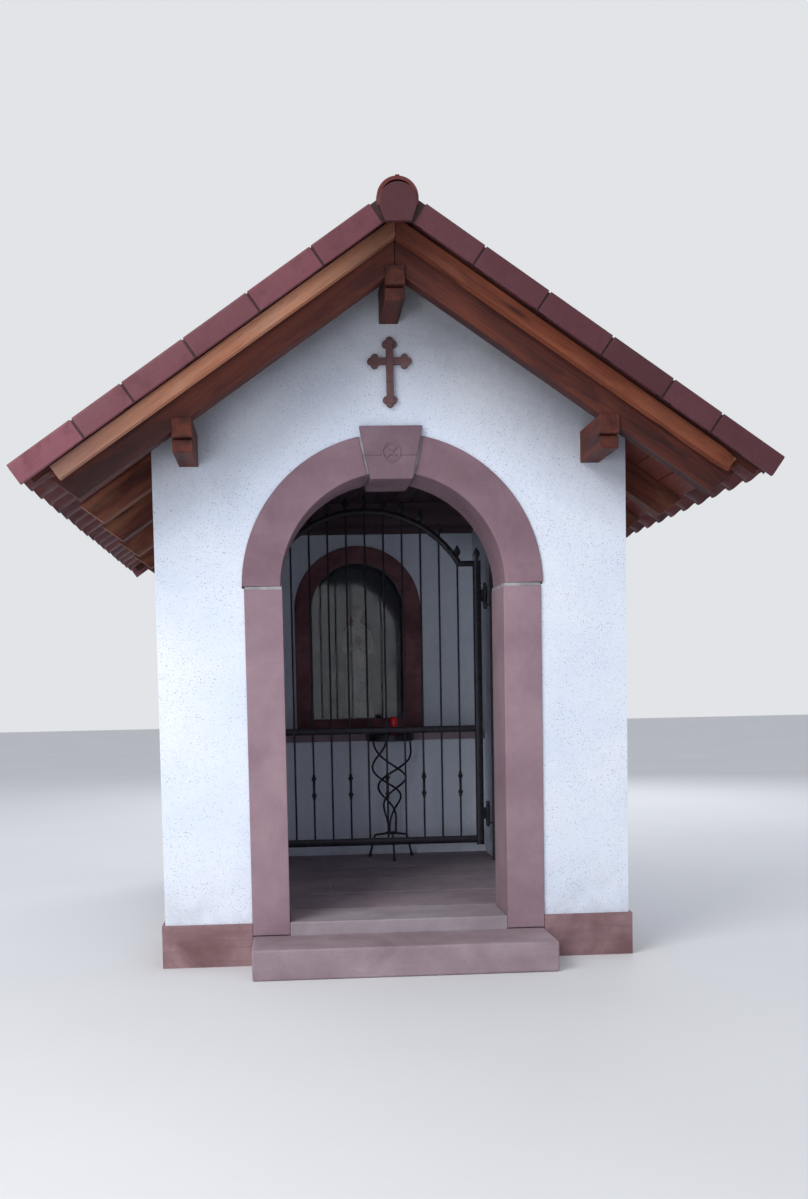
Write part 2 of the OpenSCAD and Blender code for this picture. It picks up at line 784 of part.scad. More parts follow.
module gate_frame() {
  inner = leaf_half - stile_width;
  color("#35312e") from_front() translate([0, gate_y, 0]) {
    both_sides() block(inner, leaf_half, -stile_thick / 2, stile_thick / 2, stile_foot, stile_top);
    block(-inner, inner, -rail_thick / 2, rail_thick / 2, bottom_rail_foot,
          bottom_rail_foot + bottom_rail_high);
    block(-inner, inner, -rail_thick / 2, rail_thick / 2, mid_rail_foot, mid_rail_foot + mid_rail_high);
    along_y(-rail_thick / 2, rail_thick / 2) intersection() {
      top_rail_outline();
      translate([-inner, 0]) square([2 * inner, rise_over]);
    }
  }
}

// Height of the middle line of the top rail over the distance x from the middle
function rail_z(x) =
  max(shoulder_height, top_rail_axis + sqrt(max(0, pow(top_rail_radius, 2) - pow(x, 2))));

module gate_bars() {
  mid_top = mid_rail_foot + mid_rail_high;
  low_top = bottom_rail_foot + bottom_rail_high;
  color("#2f2c2a") from_front() translate([0, gate_y, 0])
    for (i = [-bars_per_side : bars_per_side]) translate([i * bar_spacing, 0, 0]) {
      translate([0, 0, low_top]) cylinder(h = mid_rail_foot - low_top, d = bar_diameter);
      difference() {
        translate([0, 0, mid_top]) cylinder(h = top_rail_peak - mid_top, d = bar_diameter);
        translate([-i * bar_spacing, 0, 0]) along_y(-rail_thick, rail_thick) difference() {
          translate([-leaf_half, mid_top]) square([2 * leaf_half, top_rail_peak]);
          translate([0, top_rail_axis]) circle(r = top_rail_radius - top_rail_high / 2);
          translate([-leaf_half, mid_top])
            square([2 * leaf_half, shoulder_height - top_rail_high / 2 - mid_top]);
        }
      }
      if (i % 2 != 0)
        for (k = [0, 1]) translate([0, 0, lower_knot + k * knot_pitch]) sphere(d = knot_diameter);
    }
}

// Outline of a spear head with its neck, standing on the height zero
module spear_outline() {
  neck = spear_width / 5;
  polygon([[-neck, 0], [neck, 0], [neck, spear_high * 0.2], [spear_width * 0.34, spear_high * 0.3],
           [spear_width / 2, spear_high * 0.48], [spear_width * 0.36, spear_high * 0.72], [0, spear_high],
           [-spear_width * 0.36, spear_high * 0.72], [-spear_width / 2, spear_high * 0.48],
           [-spear_width * 0.34, spear_high * 0.3], [-neck, spear_high * 0.2]]);
}

module gate_spears() {
  half = top_rail_high / 2;
  color("#2f2c2a") from_front() translate([0, gate_y, 0])
    along_y(-spear_thick / 2, spear_thick / 2) {
      for (i = [-bars_per_side : bars_per_side]) difference() {
        translate([i * bar_spacing, rail_z(i * bar_spacing) + half - spear_seat]) spear_outline();
        translate([0, top_rail_axis]) circle(r = top_rail_radius + half);
      }
      both_sides() translate([leaf_half - stile_width / 2, stile_top]) spear_outline();
    }
}

module gate_knuckles() {
  bore = pin_diameter + 2 * pin_clearance;
  tab = stile_thick / 3;
  color("#35312e") from_front() for (z = [lower_hinge, upper_hinge])
    translate([hinge_x, gate_y, z - knuckle_high / 2]) difference() {
      union() {
        cylinder(h = knuckle_high, d = knuckle_diameter);
        translate([leaf_half - hinge_x, -tab / 2, knuckle_high / 6])
          cube([hinge_x - leaf_half, tab, knuckle_high * 2 / 3]);
      }
      translate([0, 0, -fit_gap]) cylinder(h = knuckle_high + 2 * fit_gap, d = bore);
    }
}

// A straight rod of the stand between two points, with its seam turned to the side
module rod(a, b, r) {
  d = b - a;
  len = norm(d);
  translate(a) rotate([0, acos(d[2] / len), atan2(d[1], d[0])]) rotate(seam_turn)
    cylinder(h = len, r = r);
}

// A point of the strand's middle line between the heights hub and low, t of the way up
function strand_point(t, hub, low) =
  let(s = (1 - cos(180 * t)) / 2, turn = strand_start + strand_turn * (1 - s),
      reach = strand_root + (strand_reach - strand_root) * s)
  [reach * cos(turn), reach * sin(turn), hub + (low - hub) * t];

// One of the stand's twisted strands, a chain of rods with a round joint between each two
module strand(hub, low) {
  for (k = [1 : strand_parts])
    rod(strand_point((k - 1) / strand_parts, hub, low), strand_point(k / strand_parts, hub, low),
        rod_radius);
  for (k = [1 : strand_parts - 1])
    translate(strand_point(k / strand_parts, hub, low)) sphere(r = strand_joint);
}

module candle_stand() {
  hub = floor_height + hub_rise;
  low = tray_top - tray_high;
  knee = [knee_reach, 0, hub - knee_fall];
  ball = 1.6 * rod_radius;
  color("#2d2a29") from_front() translate([stand_x, stand_y, 0]) {
    for (a = [30, 150, 270]) rotate(a) {
      rod([0, 0, hub], knee, rod_radius);
      translate(knee) sphere(r = strand_joint);
      rod(knee, [foot_reach, 0, floor_height + ball], rod_radius);
      translate([foot_reach, 0, floor_height + ball]) sphere(r = ball);
      strand(hub, low + tray_wall / 2);
    }
    translate([0, 0, hub - rod_radius]) cylinder(h = 2 * rod_radius, r = strand_root + 2 * rod_radius);
    translate([0, 0, low]) difference() {
      cylinder(h = tray_high, r = tray_radius);
      translate([0, 0, tray_wall]) cylinder(h = tray_high, r = tray_radius - tray_wall);
    }
  }
}

module votive_candle() {
  color("#b3221f") from_front()
    translate([stand_x + candle_shift, stand_y, tray_top - tray_high + tray_wall])
      cylinder(h = candle_high + tray_high - tray_wall, r = candle_radius);
}

plinth_front();
plinth_sides();
plinth_back();
front_wall_piers();
front_gable();
side_walls();
back_wall();
door_jambs();
door_arch();
keystone();
threshold();
entrance_step();
floor_slab();
gable_cross();
ridge_purlin();
side_purlins();
front_rafters();
rear_rafters();
roof_boards();
verge_boards();
tile_cover();
verge_tiles();
ridge_tiles();
ridge_end_plates();
ceiling_boards();
back_beam();
altar_block();
altar_slab();
niche_frame();
niche_figure();
niche_glass();
gate_post();
gate_frame();
gate_bars();
gate_spears();
gate_knuckles();
candle_stand();
votive_candle();
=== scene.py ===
"""Dresses the solids of a gabled wayside shrine: render, sandstone, timber, tiles and wrought iron.

Metres, +Z up, the front faces -Y, and the origin is the middle of the walls' footprint on the ground.
"""

import sys
import logging
import math
from dataclasses import dataclass
from enum import Enum

import bpy
import numpy as np
from mathutils import Matrix


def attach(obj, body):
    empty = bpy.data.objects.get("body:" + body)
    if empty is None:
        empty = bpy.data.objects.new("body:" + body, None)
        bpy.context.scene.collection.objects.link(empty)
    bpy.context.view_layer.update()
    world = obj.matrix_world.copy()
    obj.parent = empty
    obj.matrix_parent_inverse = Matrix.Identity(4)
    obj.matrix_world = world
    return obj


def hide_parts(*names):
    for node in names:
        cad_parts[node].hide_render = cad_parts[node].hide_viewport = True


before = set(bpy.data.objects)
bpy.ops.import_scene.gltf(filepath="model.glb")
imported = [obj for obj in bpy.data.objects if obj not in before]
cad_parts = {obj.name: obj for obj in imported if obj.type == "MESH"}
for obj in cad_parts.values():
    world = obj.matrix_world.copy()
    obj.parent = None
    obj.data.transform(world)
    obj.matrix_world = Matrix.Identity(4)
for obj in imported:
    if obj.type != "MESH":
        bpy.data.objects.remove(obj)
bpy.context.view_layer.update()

LOG = logging.getLogger("shrine")
Tone = tuple[float, float, float]
Place = tuple[float, float, float]
Outline = np.ndarray | list[tuple[float, float]]
Socket = bpy.types.NodeSocket
Value = Socket | float | Tone

MIRROR = np.array([-1.0, 1.0, 1.0])
MIRROR_GRAIN = 3.7  # how far a mirror image's fibres are shifted, so that the two don't look alike
TIP = 0.001  # radius at the closed end of a turned profile


class Body(Enum):
    """The two bodies that pieces ride on."""

    SHRINE = "shrine"
    GATE = "gate"


class Fibre(Enum):
    """The way the fibres of a timber run."""

    ALONG_Y = (0.0, 1.0, 0.0)
    ALONG_X = (1.0, 0.0, 0.0)
    DOWN_SLOPE = (0.8221, 0.0, -0.5693)


def linear(tone: Tone) -> tuple[float, float, float, float]:
    """Turns a colour on the 0 to 255 scale into the linear values that shaders read.

    Args:
        tone: red, green and blue.

    Returns:
        The linear colour with a full alpha.
    """
    share = np.array(tone) / 255
    low, high = share / 12.92, ((share + 0.055) / 1.055) ** 2.4
    return (*np.where(share <= 0.04045, low, high).tolist(), 1.0)


def dim(tone: Tone, share: float) -> Tone:
    """Returns a tone at a share of its brightness."""
    return tuple(c * share for c in tone)


class Graph:
    """The nodes of a material or of the world, and the shader that they feed."""

    def __init__(self, owner: bpy.types.Material | bpy.types.World, shader: str = "Principled BSDF") -> None:
        """Starts the nodes.

        Args:
            owner: the material or the world.
            shader: the name of its shader.
        """
        owner.use_nodes = True
        self.owner, self.tree = owner, owner.node_tree
        self.shader = self.tree.nodes[shader]

    def node(self, kind: str, values: dict | None = None, **settings: object) -> bpy.types.Node:
        """Adds a node.

        Args:
            kind: the node's type without its common start.
            values: inputs by name or number, each a socket to link or a plain value.
            settings: properties of the node.

        Returns:
            The new node.
        """
        made = self.tree.nodes.new("ShaderNode" + kind)
        for key, value in settings.items():
            setattr(made, key, value)
        for key, value in (values or {}).items():
            self.feed(made.inputs[key], value)
        return made

    def feed(self, entry: Socket, value: Value) -> None:
        """Links a socket to an input, or sets the input to a plain value.

        Args:
            entry: the input.
            value: a socket, a number or a colour.
        """
        if isinstance(value, Socket):
            self.tree.links.new(value, entry)
        else:
            entry.default_value = value

    def carried(self, name: str, value: str = "Vector") -> Socket:
        """Returns a value that the mesh carries."""
        return self.node("Attribute", attribute_name=name).outputs[value]

    def height(self, where: Socket) -> Socket:
        """Returns the height of the coordinates."""
        return self.node("SeparateXYZ", {0: where}).outputs[2]

    def aside(self, where: Socket) -> Socket:
        """Returns how far the coordinates lie from the middle of the building, to either side."""
        across = self.node("SeparateXYZ", {0: where}).outputs[0]
        return self.node("Math", {0: across}, operation="ABSOLUTE").outputs[0]

    def stretched(self, where: Socket, scale: Tone) -> Socket:
        """Returns the coordinates times a factor along each axis."""
        return self.node("Mapping", {"Vector": where, "Scale": scale}).outputs[0]

    def noise(self, where: Socket, scale: float, detail: float = 5.0, rough: float = 0.55,
              twist: float = 0.0) -> Socket:
        """Returns cloudy noise of about 0.3 to 0.7, with this many cells in a metre."""
        values = {"Vector": where, "Scale": scale, "Detail": detail, "Roughness": rough, "Distortion": twist}
        return self.node("TexNoise", values).outputs[0]

    def cells(self, where: Socket, scale: float) -> Socket:
        """Returns the distance to the nearest of many scattered points, this many in a metre."""
        return self.node("TexVoronoi", {"Vector": where, "Scale": scale}).outputs["Distance"]

    def sums(self, kind: str, first: Value, second: Value = 0.0) -> Socket:
        """Returns the result of one sum, held between 0 and 1."""
        return self.node("Math", {0: first, 1: second}, operation=kind, use_clamp=True).outputs[0]

    def span(self, value: Socket, low: float, high: float, start: float = 0.0, end: float = 1.0) -> Socket:
        """Returns the range low to high mapped onto start to end, with its ends held."""
        return self.node("MapRange", {0: value, 1: low, 2: high, 3: start, 4: end}).outputs[0]

    def blend(self, share: Value, first: Value, second: Value, way: str = "MIX") -> Socket:
        """Mixes two colours.

        Args:
            share: how much of the second.
            first: a tone or a socket.
            second: a tone or a socket.
            way: the blending mode.

        Returns:
            The mixed colour.
        """
        pair = [c if isinstance(c, Socket) else linear(c) for c in (first, second)]
        values = {0: share, 6: pair[0], 7: pair[1]}
        return self.node("Mix", values, data_type="RGBA", blend_type=way).outputs[2]

    def gritty(self, share: float, colour: Socket, grains: Socket) -> Socket:
        """Returns a colour with a share of the grains' light and dark over it."""
        return self.blend(share, colour, self.node("ValToRGB", {0: grains}).outputs[0], "OVERLAY")

    def relief(self, height: Socket, depth: float, under: Socket | None = None) -> Socket:
        """Raises a bump.

        Args:
            height: the height from 0 to 1.
            depth: its depth in metres.
            under: a coarser bump to add to.

        Returns:
            The normal.
        """
        values = {"Height": height, "Distance": depth, "Strength": 1.0}
        if under is not None:
            values["Normal"] = under
        return self.node("Bump", values).outputs[0]

    def done(self, colour: Value, rough: Value, normal: Socket, **plain: float) -> bpy.types.Material:
        """Feeds the shader and ends the material.

        Args:
            colour: base colour.
            rough: roughness.
            normal: the bump.
            plain: other inputs of the shader, one number each.

        Returns:
            The finished material.
        """
        entries = self.shader.inputs
        for name, value in (("Base Color", colour), ("Roughness", rough), ("Normal", normal)):
            self.feed(entries[name], value)
        for name, value in plain.items():
            entries[name.replace("_", " ").title().replace("Ior", "IOR")].default_value = value
        return self.owner


@dataclass(frozen=True)
class Finish:
    """A finish made of nodes, which follow the object's own coordinates."""

    name: str

    def start(self) -> tuple[Graph, Socket]:
        """Returns the nodes of a new material and its object coordinates."""
        g = Graph(bpy.data.materials.new(self.name))
        return g, g.node("TexCoord").outputs["Object"]


@dataclass(frozen=True)
class RenderFinish(Finish):
    """White lime render with a sandy skin, fine dark specks, and a grey stain with painted shade along the
    roof's slopes.
    """

    name: str = "lime_render"
    # Both tones are bluish: painted light, the cool tint of the sky light on a white wall
    pale: Tone = (232, 238, 248)
    cool: Tone = (220, 229, 245)
    # stain: partly real grey staining and partly painted shade under the roof's overhang
    stain: Tone = (104, 104, 112)
    speck: Tone = (126, 128, 142)
    splash: Tone = (150, 142, 140)
    slope: float = 0.60
    stain_and_shade_from: float = 2.60
    stain_and_shade_to: float = 3.12
    stain_and_shade_most: float = 0.72

    def material(self) -> bpy.types.Material:
        """Joins clouds, a grey stain with painted shade that grows with height plus slope times reach, specks
        and bumps.

        Returns:
            The finished material.
        """
        g, where = self.start()
        height = g.height(where)
        under_roof = g.node("Math", {0: g.aside(where), 1: self.slope, 2: height}, operation="MULTIPLY_ADD")
        clouds = g.noise(where, 1.7, 6, 0.6)
        colour = g.blend(g.span(clouds, 0.35, 0.65), self.pale, self.cool)
        # Painted shade with the stain: strongest near the roof's slopes, where the overhang shades the gable
        deepest_stain_and_shade = g.span(under_roof.outputs[0], self.stain_and_shade_from, self.stain_and_shade_to, 0, self.stain_and_shade_most)
        stain_and_shade = g.sums("MULTIPLY", deepest_stain_and_shade, g.span(g.noise(where, 3.1, 7, 0.65), 0.3, 0.62, 0.80, 1.0))
        colour = g.blend(stain_and_shade, colour, self.stain)
        wet = g.sums("MULTIPLY", g.span(height, 0.2, 0.5, 0.3, 0.0), g.span(g.noise(where, 6, 6), 0.4, 0.65))
        colour = g.blend(wet, colour, self.splash)
        specks = g.span(g.noise(where, 165, 2, 0.5), 0.60, 0.70)
        few = g.sums("MULTIPLY", specks, g.span(g.noise(where, 5, 4), 0.38, 0.62, 0.45, 0.75))
        colour = g.blend(few, colour, self.speck)
        sand = g.noise(where, 420, 3, 0.6)
        trowel = g.relief(g.noise(where, 5.5, 3), 0.010)
        rough = g.span(clouds, 0.3, 0.7, 0.82, 0.95)
        return g.done(g.gritty(0.22, colour, sand), rough, g.relief(sand, 0.0016, trowel))


@dataclass(frozen=True)
class SandstoneFinish(Finish):
    """Sandstone with drifting colours, faint beds, grit and small pits."""

    base: Tone
    light: Tone
    dark: Tone
    beds: float = 0.35
    grit: float = 0.30
    pits: float = 0.5
    rough: float = 0.86

    def material(self) -> bpy.types.Material:
        """Joins drift, beds, grit, pits and their bump.

        Returns:
            The finished material.
        """
        g, where = self.start()
        drift = g.noise(where, 3.2, 7, 0.6, 0.4)
        colour = g.blend(g.span(drift, 0.32, 0.5), self.dark, self.base)
        colour = g.blend(g.span(drift, 0.5, 0.68), colour, self.light)
        beds = g.noise(g.stretched(where, (1.5, 1.5, 20)), 1.6, 6, 0.6, 0.8)
        colour = g.blend(g.sums("MULTIPLY", g.span(beds, 0.45, 0.7), self.beds), colour, self.dark)
        grit = g.noise(where, 340, 4, 0.7)
        colour = g.gritty(self.grit, colour, grit)
        pits = g.span(g.cells(where, 95), 0.08, 0.22, 1.0, 0.0)
        sparse = g.sums("MULTIPLY", pits, g.span(g.noise(where, 24, 3), 0.5, 0.62, 0.0, self.pits))
        colour = g.blend(sparse, colour, dim(self.dark, 0.55))
        broad = g.relief(g.noise(where, 18, 5), 0.004)
        pitted = g.relief(g.sums("SUBTRACT", 1.0, sparse), 0.0012, broad)
        return g.done(colour, self.rough, g.relief(grit, 0.0010, pitted))


@dataclass(frozen=True)
class MortarFinish(Finish):
    """Pale grey lime mortar."""

    name: str = "lime_mortar"
    pale: Tone = (170, 168, 172)
    dark: Tone = (130, 128, 134)

    def material(self) -> bpy.types.Material:
        """Joins clouds and coarse sand.

        Returns:
            The finished material.
        """
        g, where = self.start()
        sand = g.noise(where, 260, 5, 0.7)
        colour = g.blend(g.span(g.noise(where, 14, 6), 0.35, 0.65), self.dark, self.pale)
        return g.done(g.gritty(0.35, colour, sand), 0.92, g.relief(sand, 0.002))


@dataclass(frozen=True)
class TimberFinish(Finish):
    """Stained softwood: year rings and fine fibres along the piece, blotches of worn stain.

    Painted shade darkens the stain towards the apex of the gable, and the stain greys towards the eaves up to
    grey_to.
    """

    stain: Tone
    dark: Tone
    worn: Tone
    wear: float = 0.4
    rough: float = 0.62
    apex_shade: float = 0.0
    end_grey: float = 0.0
    grey_from: float = 0.95
    grey: Tone = (150, 126, 120)
    grey_to: float = 1.48

    def material(self) -> bpy.types.Material:
        """Joins rings, fibres, patches and knots, which follow the fibre coordinates and tint of each piece.

        Returns:
            The finished material.
        """
        g, where = self.start()
        fibre, tint, side = g.carried("grain"), g.carried("tint", "Fac"), g.aside(where)
        rings = g.noise(g.stretched(fibre, (0.7, 13, 13)), 1.0, 7, 0.6, 0.8)
        hairs = g.noise(g.stretched(fibre, (7, 330, 330)), 1.0, 3, 0.6)
        patches = g.noise(g.stretched(fibre, (2.2, 8, 8)), 1.0, 5, 0.58, 0.3)
        colour = g.blend(g.span(rings, 0.36, 0.62), self.dark, self.stain)
        colour = g.blend(g.sums("MULTIPLY", g.span(patches, 0.48, 0.66), self.wear), colour, self.worn)
        sawn = g.sums("MULTIPLY", g.span(tint, 0.8, 1.0), 0.8)
        knots = g.span(g.cells(g.stretched(fibre, (1.7, 9, 9)), 1.0), 0.04, 0.16, 0.75, 0.0)
        for share, tone in (
                (sawn, self.worn), (g.span(tint, 0.0, 0.7, 0.0, 0.35), self.dark),
                (knots, dim(self.dark, 0.5)), (g.span(hairs, 0.52, 0.74, 0.0, 0.5), dim(self.dark, 0.45)),
                # Painted shade towards the apex, where the ridge plate shades the board
                (g.span(side, 0.08, 0.42, self.apex_shade, 0.0), dim(self.dark, 0.55)),
                (g.span(side, self.grey_from, self.grey_to, 0.0, self.end_grey), self.grey)):
            colour = g.blend(share, colour, tone)
        rough = g.span(patches, 0.35, 0.7, self.rough - 0.08, self.rough + 0.16)
        return g.done(colour, rough, g.relief(hairs, 0.0008, g.relief(rings, 0.0016)), specular_ior_level=0.22)


@dataclass(frozen=True)
class TileFinish(Finish):
    """Smooth red slip on clay: each tile a little lighter or darker, dust and weathering on top."""

    light: Tone
    dark: Tone
    dust: Tone = (128, 108, 108)
    dusty: float = 0.25
    rough: float = 0.5

    def material(self) -> bpy.types.Material:
        """Joins mottle, dust and specks over the tint of each tile.

        Returns:
            The finished material.
        """
        g, where = self.start()
        mottle = g.noise(where, 11, 7, 0.65)
        # On the verge tiles the tint carries painted shade on the right-hand side
        colour = g.blend(g.carried("tint", "Fac"), self.dark, self.light)
        colour = g.blend(g.span(mottle, 0.5, 0.72, 0.0, 0.45), colour, self.dark)
        film = g.sums("MULTIPLY", g.span(g.noise(where, 4.3, 8, 0.7), 0.48, 0.68), self.dusty)
        colour = g.blend(film, colour, self.dust)
        specks = g.span(g.noise(where, 190, 2), 0.66, 0.72, 0.0, 0.5)
        colour = g.blend(specks, colour, dim(self.dark, 0.5))
        rough = g.span(mottle, 0.35, 0.7, self.rough - 0.08, self.rough + 0.2)
        waves = g.relief(g.noise(where, 26, 3), 0.0016)
        return g.done(colour, rough, g.relief(g.noise(where, 300, 3), 0.0004, waves), specular_ior_level=0.3)


@dataclass(frozen=True)
class IronFinish(Finish):
    """Wrought iron with a dark skin, hammer marks and a little rust in patches."""

    skin: Tone = (30, 29, 38)
    bare: Tone = (52, 51, 62)
    rust: Tone = (88, 50, 36)
    rusty: float = 0.5

    def material(self) -> bpy.types.Material:
        """Joins skin, worn spots, rust and hammer marks.

        Returns:
            The finished material.
        """
        g, where = self.start()
        cloud = g.noise(where, 24, 7, 0.62)
        colour = g.blend(g.span(cloud, 0.38, 0.66), self.skin, self.bare)
        bloom = g.sums("MULTIPLY", g.span(g.noise(where, 9, 9, 0.72), 0.58, 0.68), self.rusty)
        colour = g.blend(bloom, colour, self.rust)
        marks = g.relief(g.noise(where, 85, 2), 0.0016)
        scale = g.relief(g.noise(where, 700, 3), 0.0003, marks)
        return g.done(colour, g.span(cloud, 0.3, 0.7, 0.30, 0.54), scale, metallic=0.45)


@dataclass(frozen=True)
class GlassFinish(Finish):
    """Clear pane with a faint film of dust."""

    name: str = "niche_pane"
    clear: Tone = (238, 243, 246)
    film: Tone = (214, 222, 230)

    def material(self) -> bpy.types.Material:
        """Joins a clear shader with cloudy roughness.

        Returns:
            The finished material.
        """
        g, where = self.start()
        film = g.noise(where, 7, 6)
        colour = g.blend(g.span(film, 0.4, 0.7), self.clear, self.film)
        wavy = g.relief(g.noise(where, 3, 1), 0.0006)
        return g.done(colour, g.span(film, 0.45, 0.7, 0.02, 0.12), wavy, transmission_weight=1.0, ior=1.45)


@dataclass(frozen=True)
class WaxFinish(Finish):
    """Bright red votive cup with the wax inside showing through, darker at the foot."""

    name: str = "votive_cup"
    red: Tone = (236, 30, 46)
    deep: Tone = (160, 14, 30)

    def material(self) -> bpy.types.Material:
        """Joins height shade, streaks and a soft bump.

        Returns:
            The finished material.
        """
        g, where = self.start()
        streaks = g.noise(g.stretched(where, (60, 60, 6)), 1.0, 4)
        colour = g.blend(g.span(g.height(where), 1.0, 1.09, 0.7, 0.0), self.red, self.deep)
        colour = g.blend(g.span(streaks, 0.5, 0.7, 0.0, 0.4), colour, self.deep)
        rough = g.span(streaks, 0.3, 0.7, 0.22, 0.4)
        return g.done(colour, rough, g.relief(streaks, 0.0006), coat_weight=0.3)


@dataclass(frozen=True)
class FigureFinish(Finish):
    """Faded paint on carved wood. The tint tells robe, veil and skin apart."""

    name: str = "carved_figure"
    robe: Tone = (202, 190, 186)
    veil: Tone = (124, 60, 50)
    skin: Tone = (206, 164, 142)
    bare: Tone = (84, 64, 52)

    def material(self) -> bpy.types.Material:
        """Joins three paints, worn down to the wood in places.

        Returns:
            The finished material.
        """
        g, where = self.start()
        tint = g.carried("tint", "Fac")
        colour = g.blend(g.span(tint, 0.3, 0.4), self.robe, self.veil)
        colour = g.blend(g.span(tint, 0.7, 0.8), colour, self.skin)
        worn = g.noise(where, 38, 7, 0.68)
        colour = g.blend(g.span(worn, 0.52, 0.7, 0.0, 0.5), colour, self.bare)
        return g.done(colour, g.span(worn, 0.3, 0.7, 0.5, 0.75), g.relief(worn, 0.0012))


class Palette:
    """Every finish of the shrine, made once."""

    def __init__(self) -> None:
        """Makes all materials."""
        self.render = RenderFinish().material()
        self.mortar = MortarFinish().material()
        self.floor_mortar = MortarFinish("floor_mortar", (168, 156, 168), (140, 128, 140)).material()
        # Painted shade: dark grey render standing for the shade in the niche's recess behind the pane
        self.niche_shade_render = RenderFinish("niche_shade_render", (122, 124, 128), (94, 98, 104)).material()
        stone, timber = self.stone, self.timber
        # The arch and the keystone are darker than the jambs: partly the stones' own tone and partly painted
        # shade from the overhang
        self.surround = stone("surround", (146, 121, 131), (157, 132, 140), (135, 110, 120), 0.15)
        self.arch = stone("arch", (134, 107, 118), (145, 118, 127), (121, 95, 105), 0.2)
        self.keystone = stone("keystone", (124, 101, 112), (137, 113, 122), (108, 86, 95), 0.25)
        self.plinth = stone("plinth", (142, 112, 116), (166, 138, 138), (112, 82, 84), 0.45, 0.4, 0.7)
        self.step = stone("step", (147, 128, 136), (160, 142, 149), (133, 113, 121), 0.25, 0.38, 0.6)
        self.threshold = stone("threshold", (158, 147, 154), (172, 162, 168), (142, 130, 138), 0.2, 0.38, 0.5)
        self.paving = stone("paving", (146, 130, 140), (160, 145, 152), (128, 112, 121), 0.2, 0.35, 0.6)
        self.cross = stone("cross", (96, 66, 68), (120, 92, 92), (60, 40, 42), 0.3, 0.45, 0.9)
        self.niche = stone("niche", (130, 88, 94), (148, 106, 108), (98, 62, 68), 0.3, 0.3, 0.5)
        self.dark_timber = timber("dark", (96, 48, 39), (52, 27, 27), (126, 68, 50), 0.45)
        self.warm_timber = timber("warm", (122, 65, 48), (72, 37, 31), (186, 138, 104), 0.25)
        self.board_timber = timber("roof_board", (116, 60, 51), (92, 46, 40), (150, 94, 74), 0.25)
        # Painted light: the left verge boards are painted lit and the right ones painted shaded, copies of one
        # timber
        self.lit_verge_timber = timber("painted_lit_verge", (222, 158, 124), (190, 122, 94), (224, 182, 156), 0.4, 0.6,
                                  0.85, 0.6)
        self.shaded_verge_timber = timber("painted_shaded_verge", (138, 74, 51), (98, 51, 40), (172, 106, 78), 0.35, 0.6, 0.3,
                                 0.75, 1.462, (206, 170, 146))
        self.ceiling_timber = timber("ceiling", (112, 92, 98), (72, 58, 64), (134, 114, 116), 0.3)
        self.tile = TileFinish("roof_tile_slip", (110, 50, 47), (72, 33, 34)).material()
        # verge_tile: the light tone is the lit left-hand face, the dark tone the painted shade of the
        # right-hand face
        self.verge_tile = TileFinish("verge_tile_slip", (118, 66, 76), (72, 36, 42), (112, 84, 92),
                                     0.1).material()
        # Painted shade: this dark clay stands for the shade in the verge tiles' open joints and under the ridge
        # caps
        self.lap = TileFinish("shaded_lap_clay", (58, 32, 34), (40, 22, 24), (66, 52, 52)).material()
        self.iron = IronFinish("wrought_iron").material()
        self.post = IronFinish("post_steel", (44, 42, 48), (70, 68, 74), (96, 62, 46), 0.35).material()
        self.glass = GlassFinish().material()
        self.wax = WaxFinish().material()
        self.figure = FigureFinish().material()

    @staticmethod
    def stone(name: str, *values: Tone | float) -> bpy.types.Material:
        """Returns a sandstone with these tones, then its beds, grit and pits."""
        return SandstoneFinish(name + "_sandstone", *values).material()

    @staticmethod
    def timber(name: str, *values: Tone | float) -> bpy.types.Material:
        """Returns a timber with these tones, then its wear and the rest."""
        return TimberFinish(name + "_timber", *values).material()


@dataclass
class Shell:
    """One closed surface, with the values that its finish reads."""

    points: np.ndarray
    faces: list[np.ndarray]
    grain: np.ndarray
    tint: float = 0.5

    def mirrored(self) -> "Shell":
        """Returns the mirror image across the middle of the building, its faces turned outwards."""
        turned = [f[:, ::-1] for f in self.faces]
        return Shell(self.points * MIRROR, turned, self.grain + MIRROR_GRAIN, self.tint)

    def tinted(self, tint: float) -> "Shell":
        """Gives the shell its shade and returns it."""
        self.tint = tint
        return self

    def fibred(self, way: Fibre, chance: np.random.Generator, tint: float | None = None) -> "Shell":
        """Lays fibre coordinates on the shell: along the fibres, across them, and square to both.

        Args:
            way: direction of the fibres.
            chance: source of a shift of up to 20 m, so that no two timbers look the same.
            tint: shade of the timber, or None for a chance one.

        Returns:
            The same shell.
        """
        along = np.array(way.value) / np.linalg.norm(way.value)
        across = np.cross(along, (0.0, 1.0, 0.0) if way is not Fibre.ALONG_Y else (1.0, 0.0, 0.0))
        across /= np.linalg.norm(across)
        axes = np.stack([along, across, np.cross(along, across)])
        self.grain = self.points @ axes.T + chance.uniform(-20, 20, 3)
        return self.tinted(float(chance.uniform(0, 0.7)) if tint is None else tint)


def both(shells: list[Shell]) -> list[Shell]:
    """Returns the shells and their mirror images."""
    return shells + [s.mirrored() for s in shells]


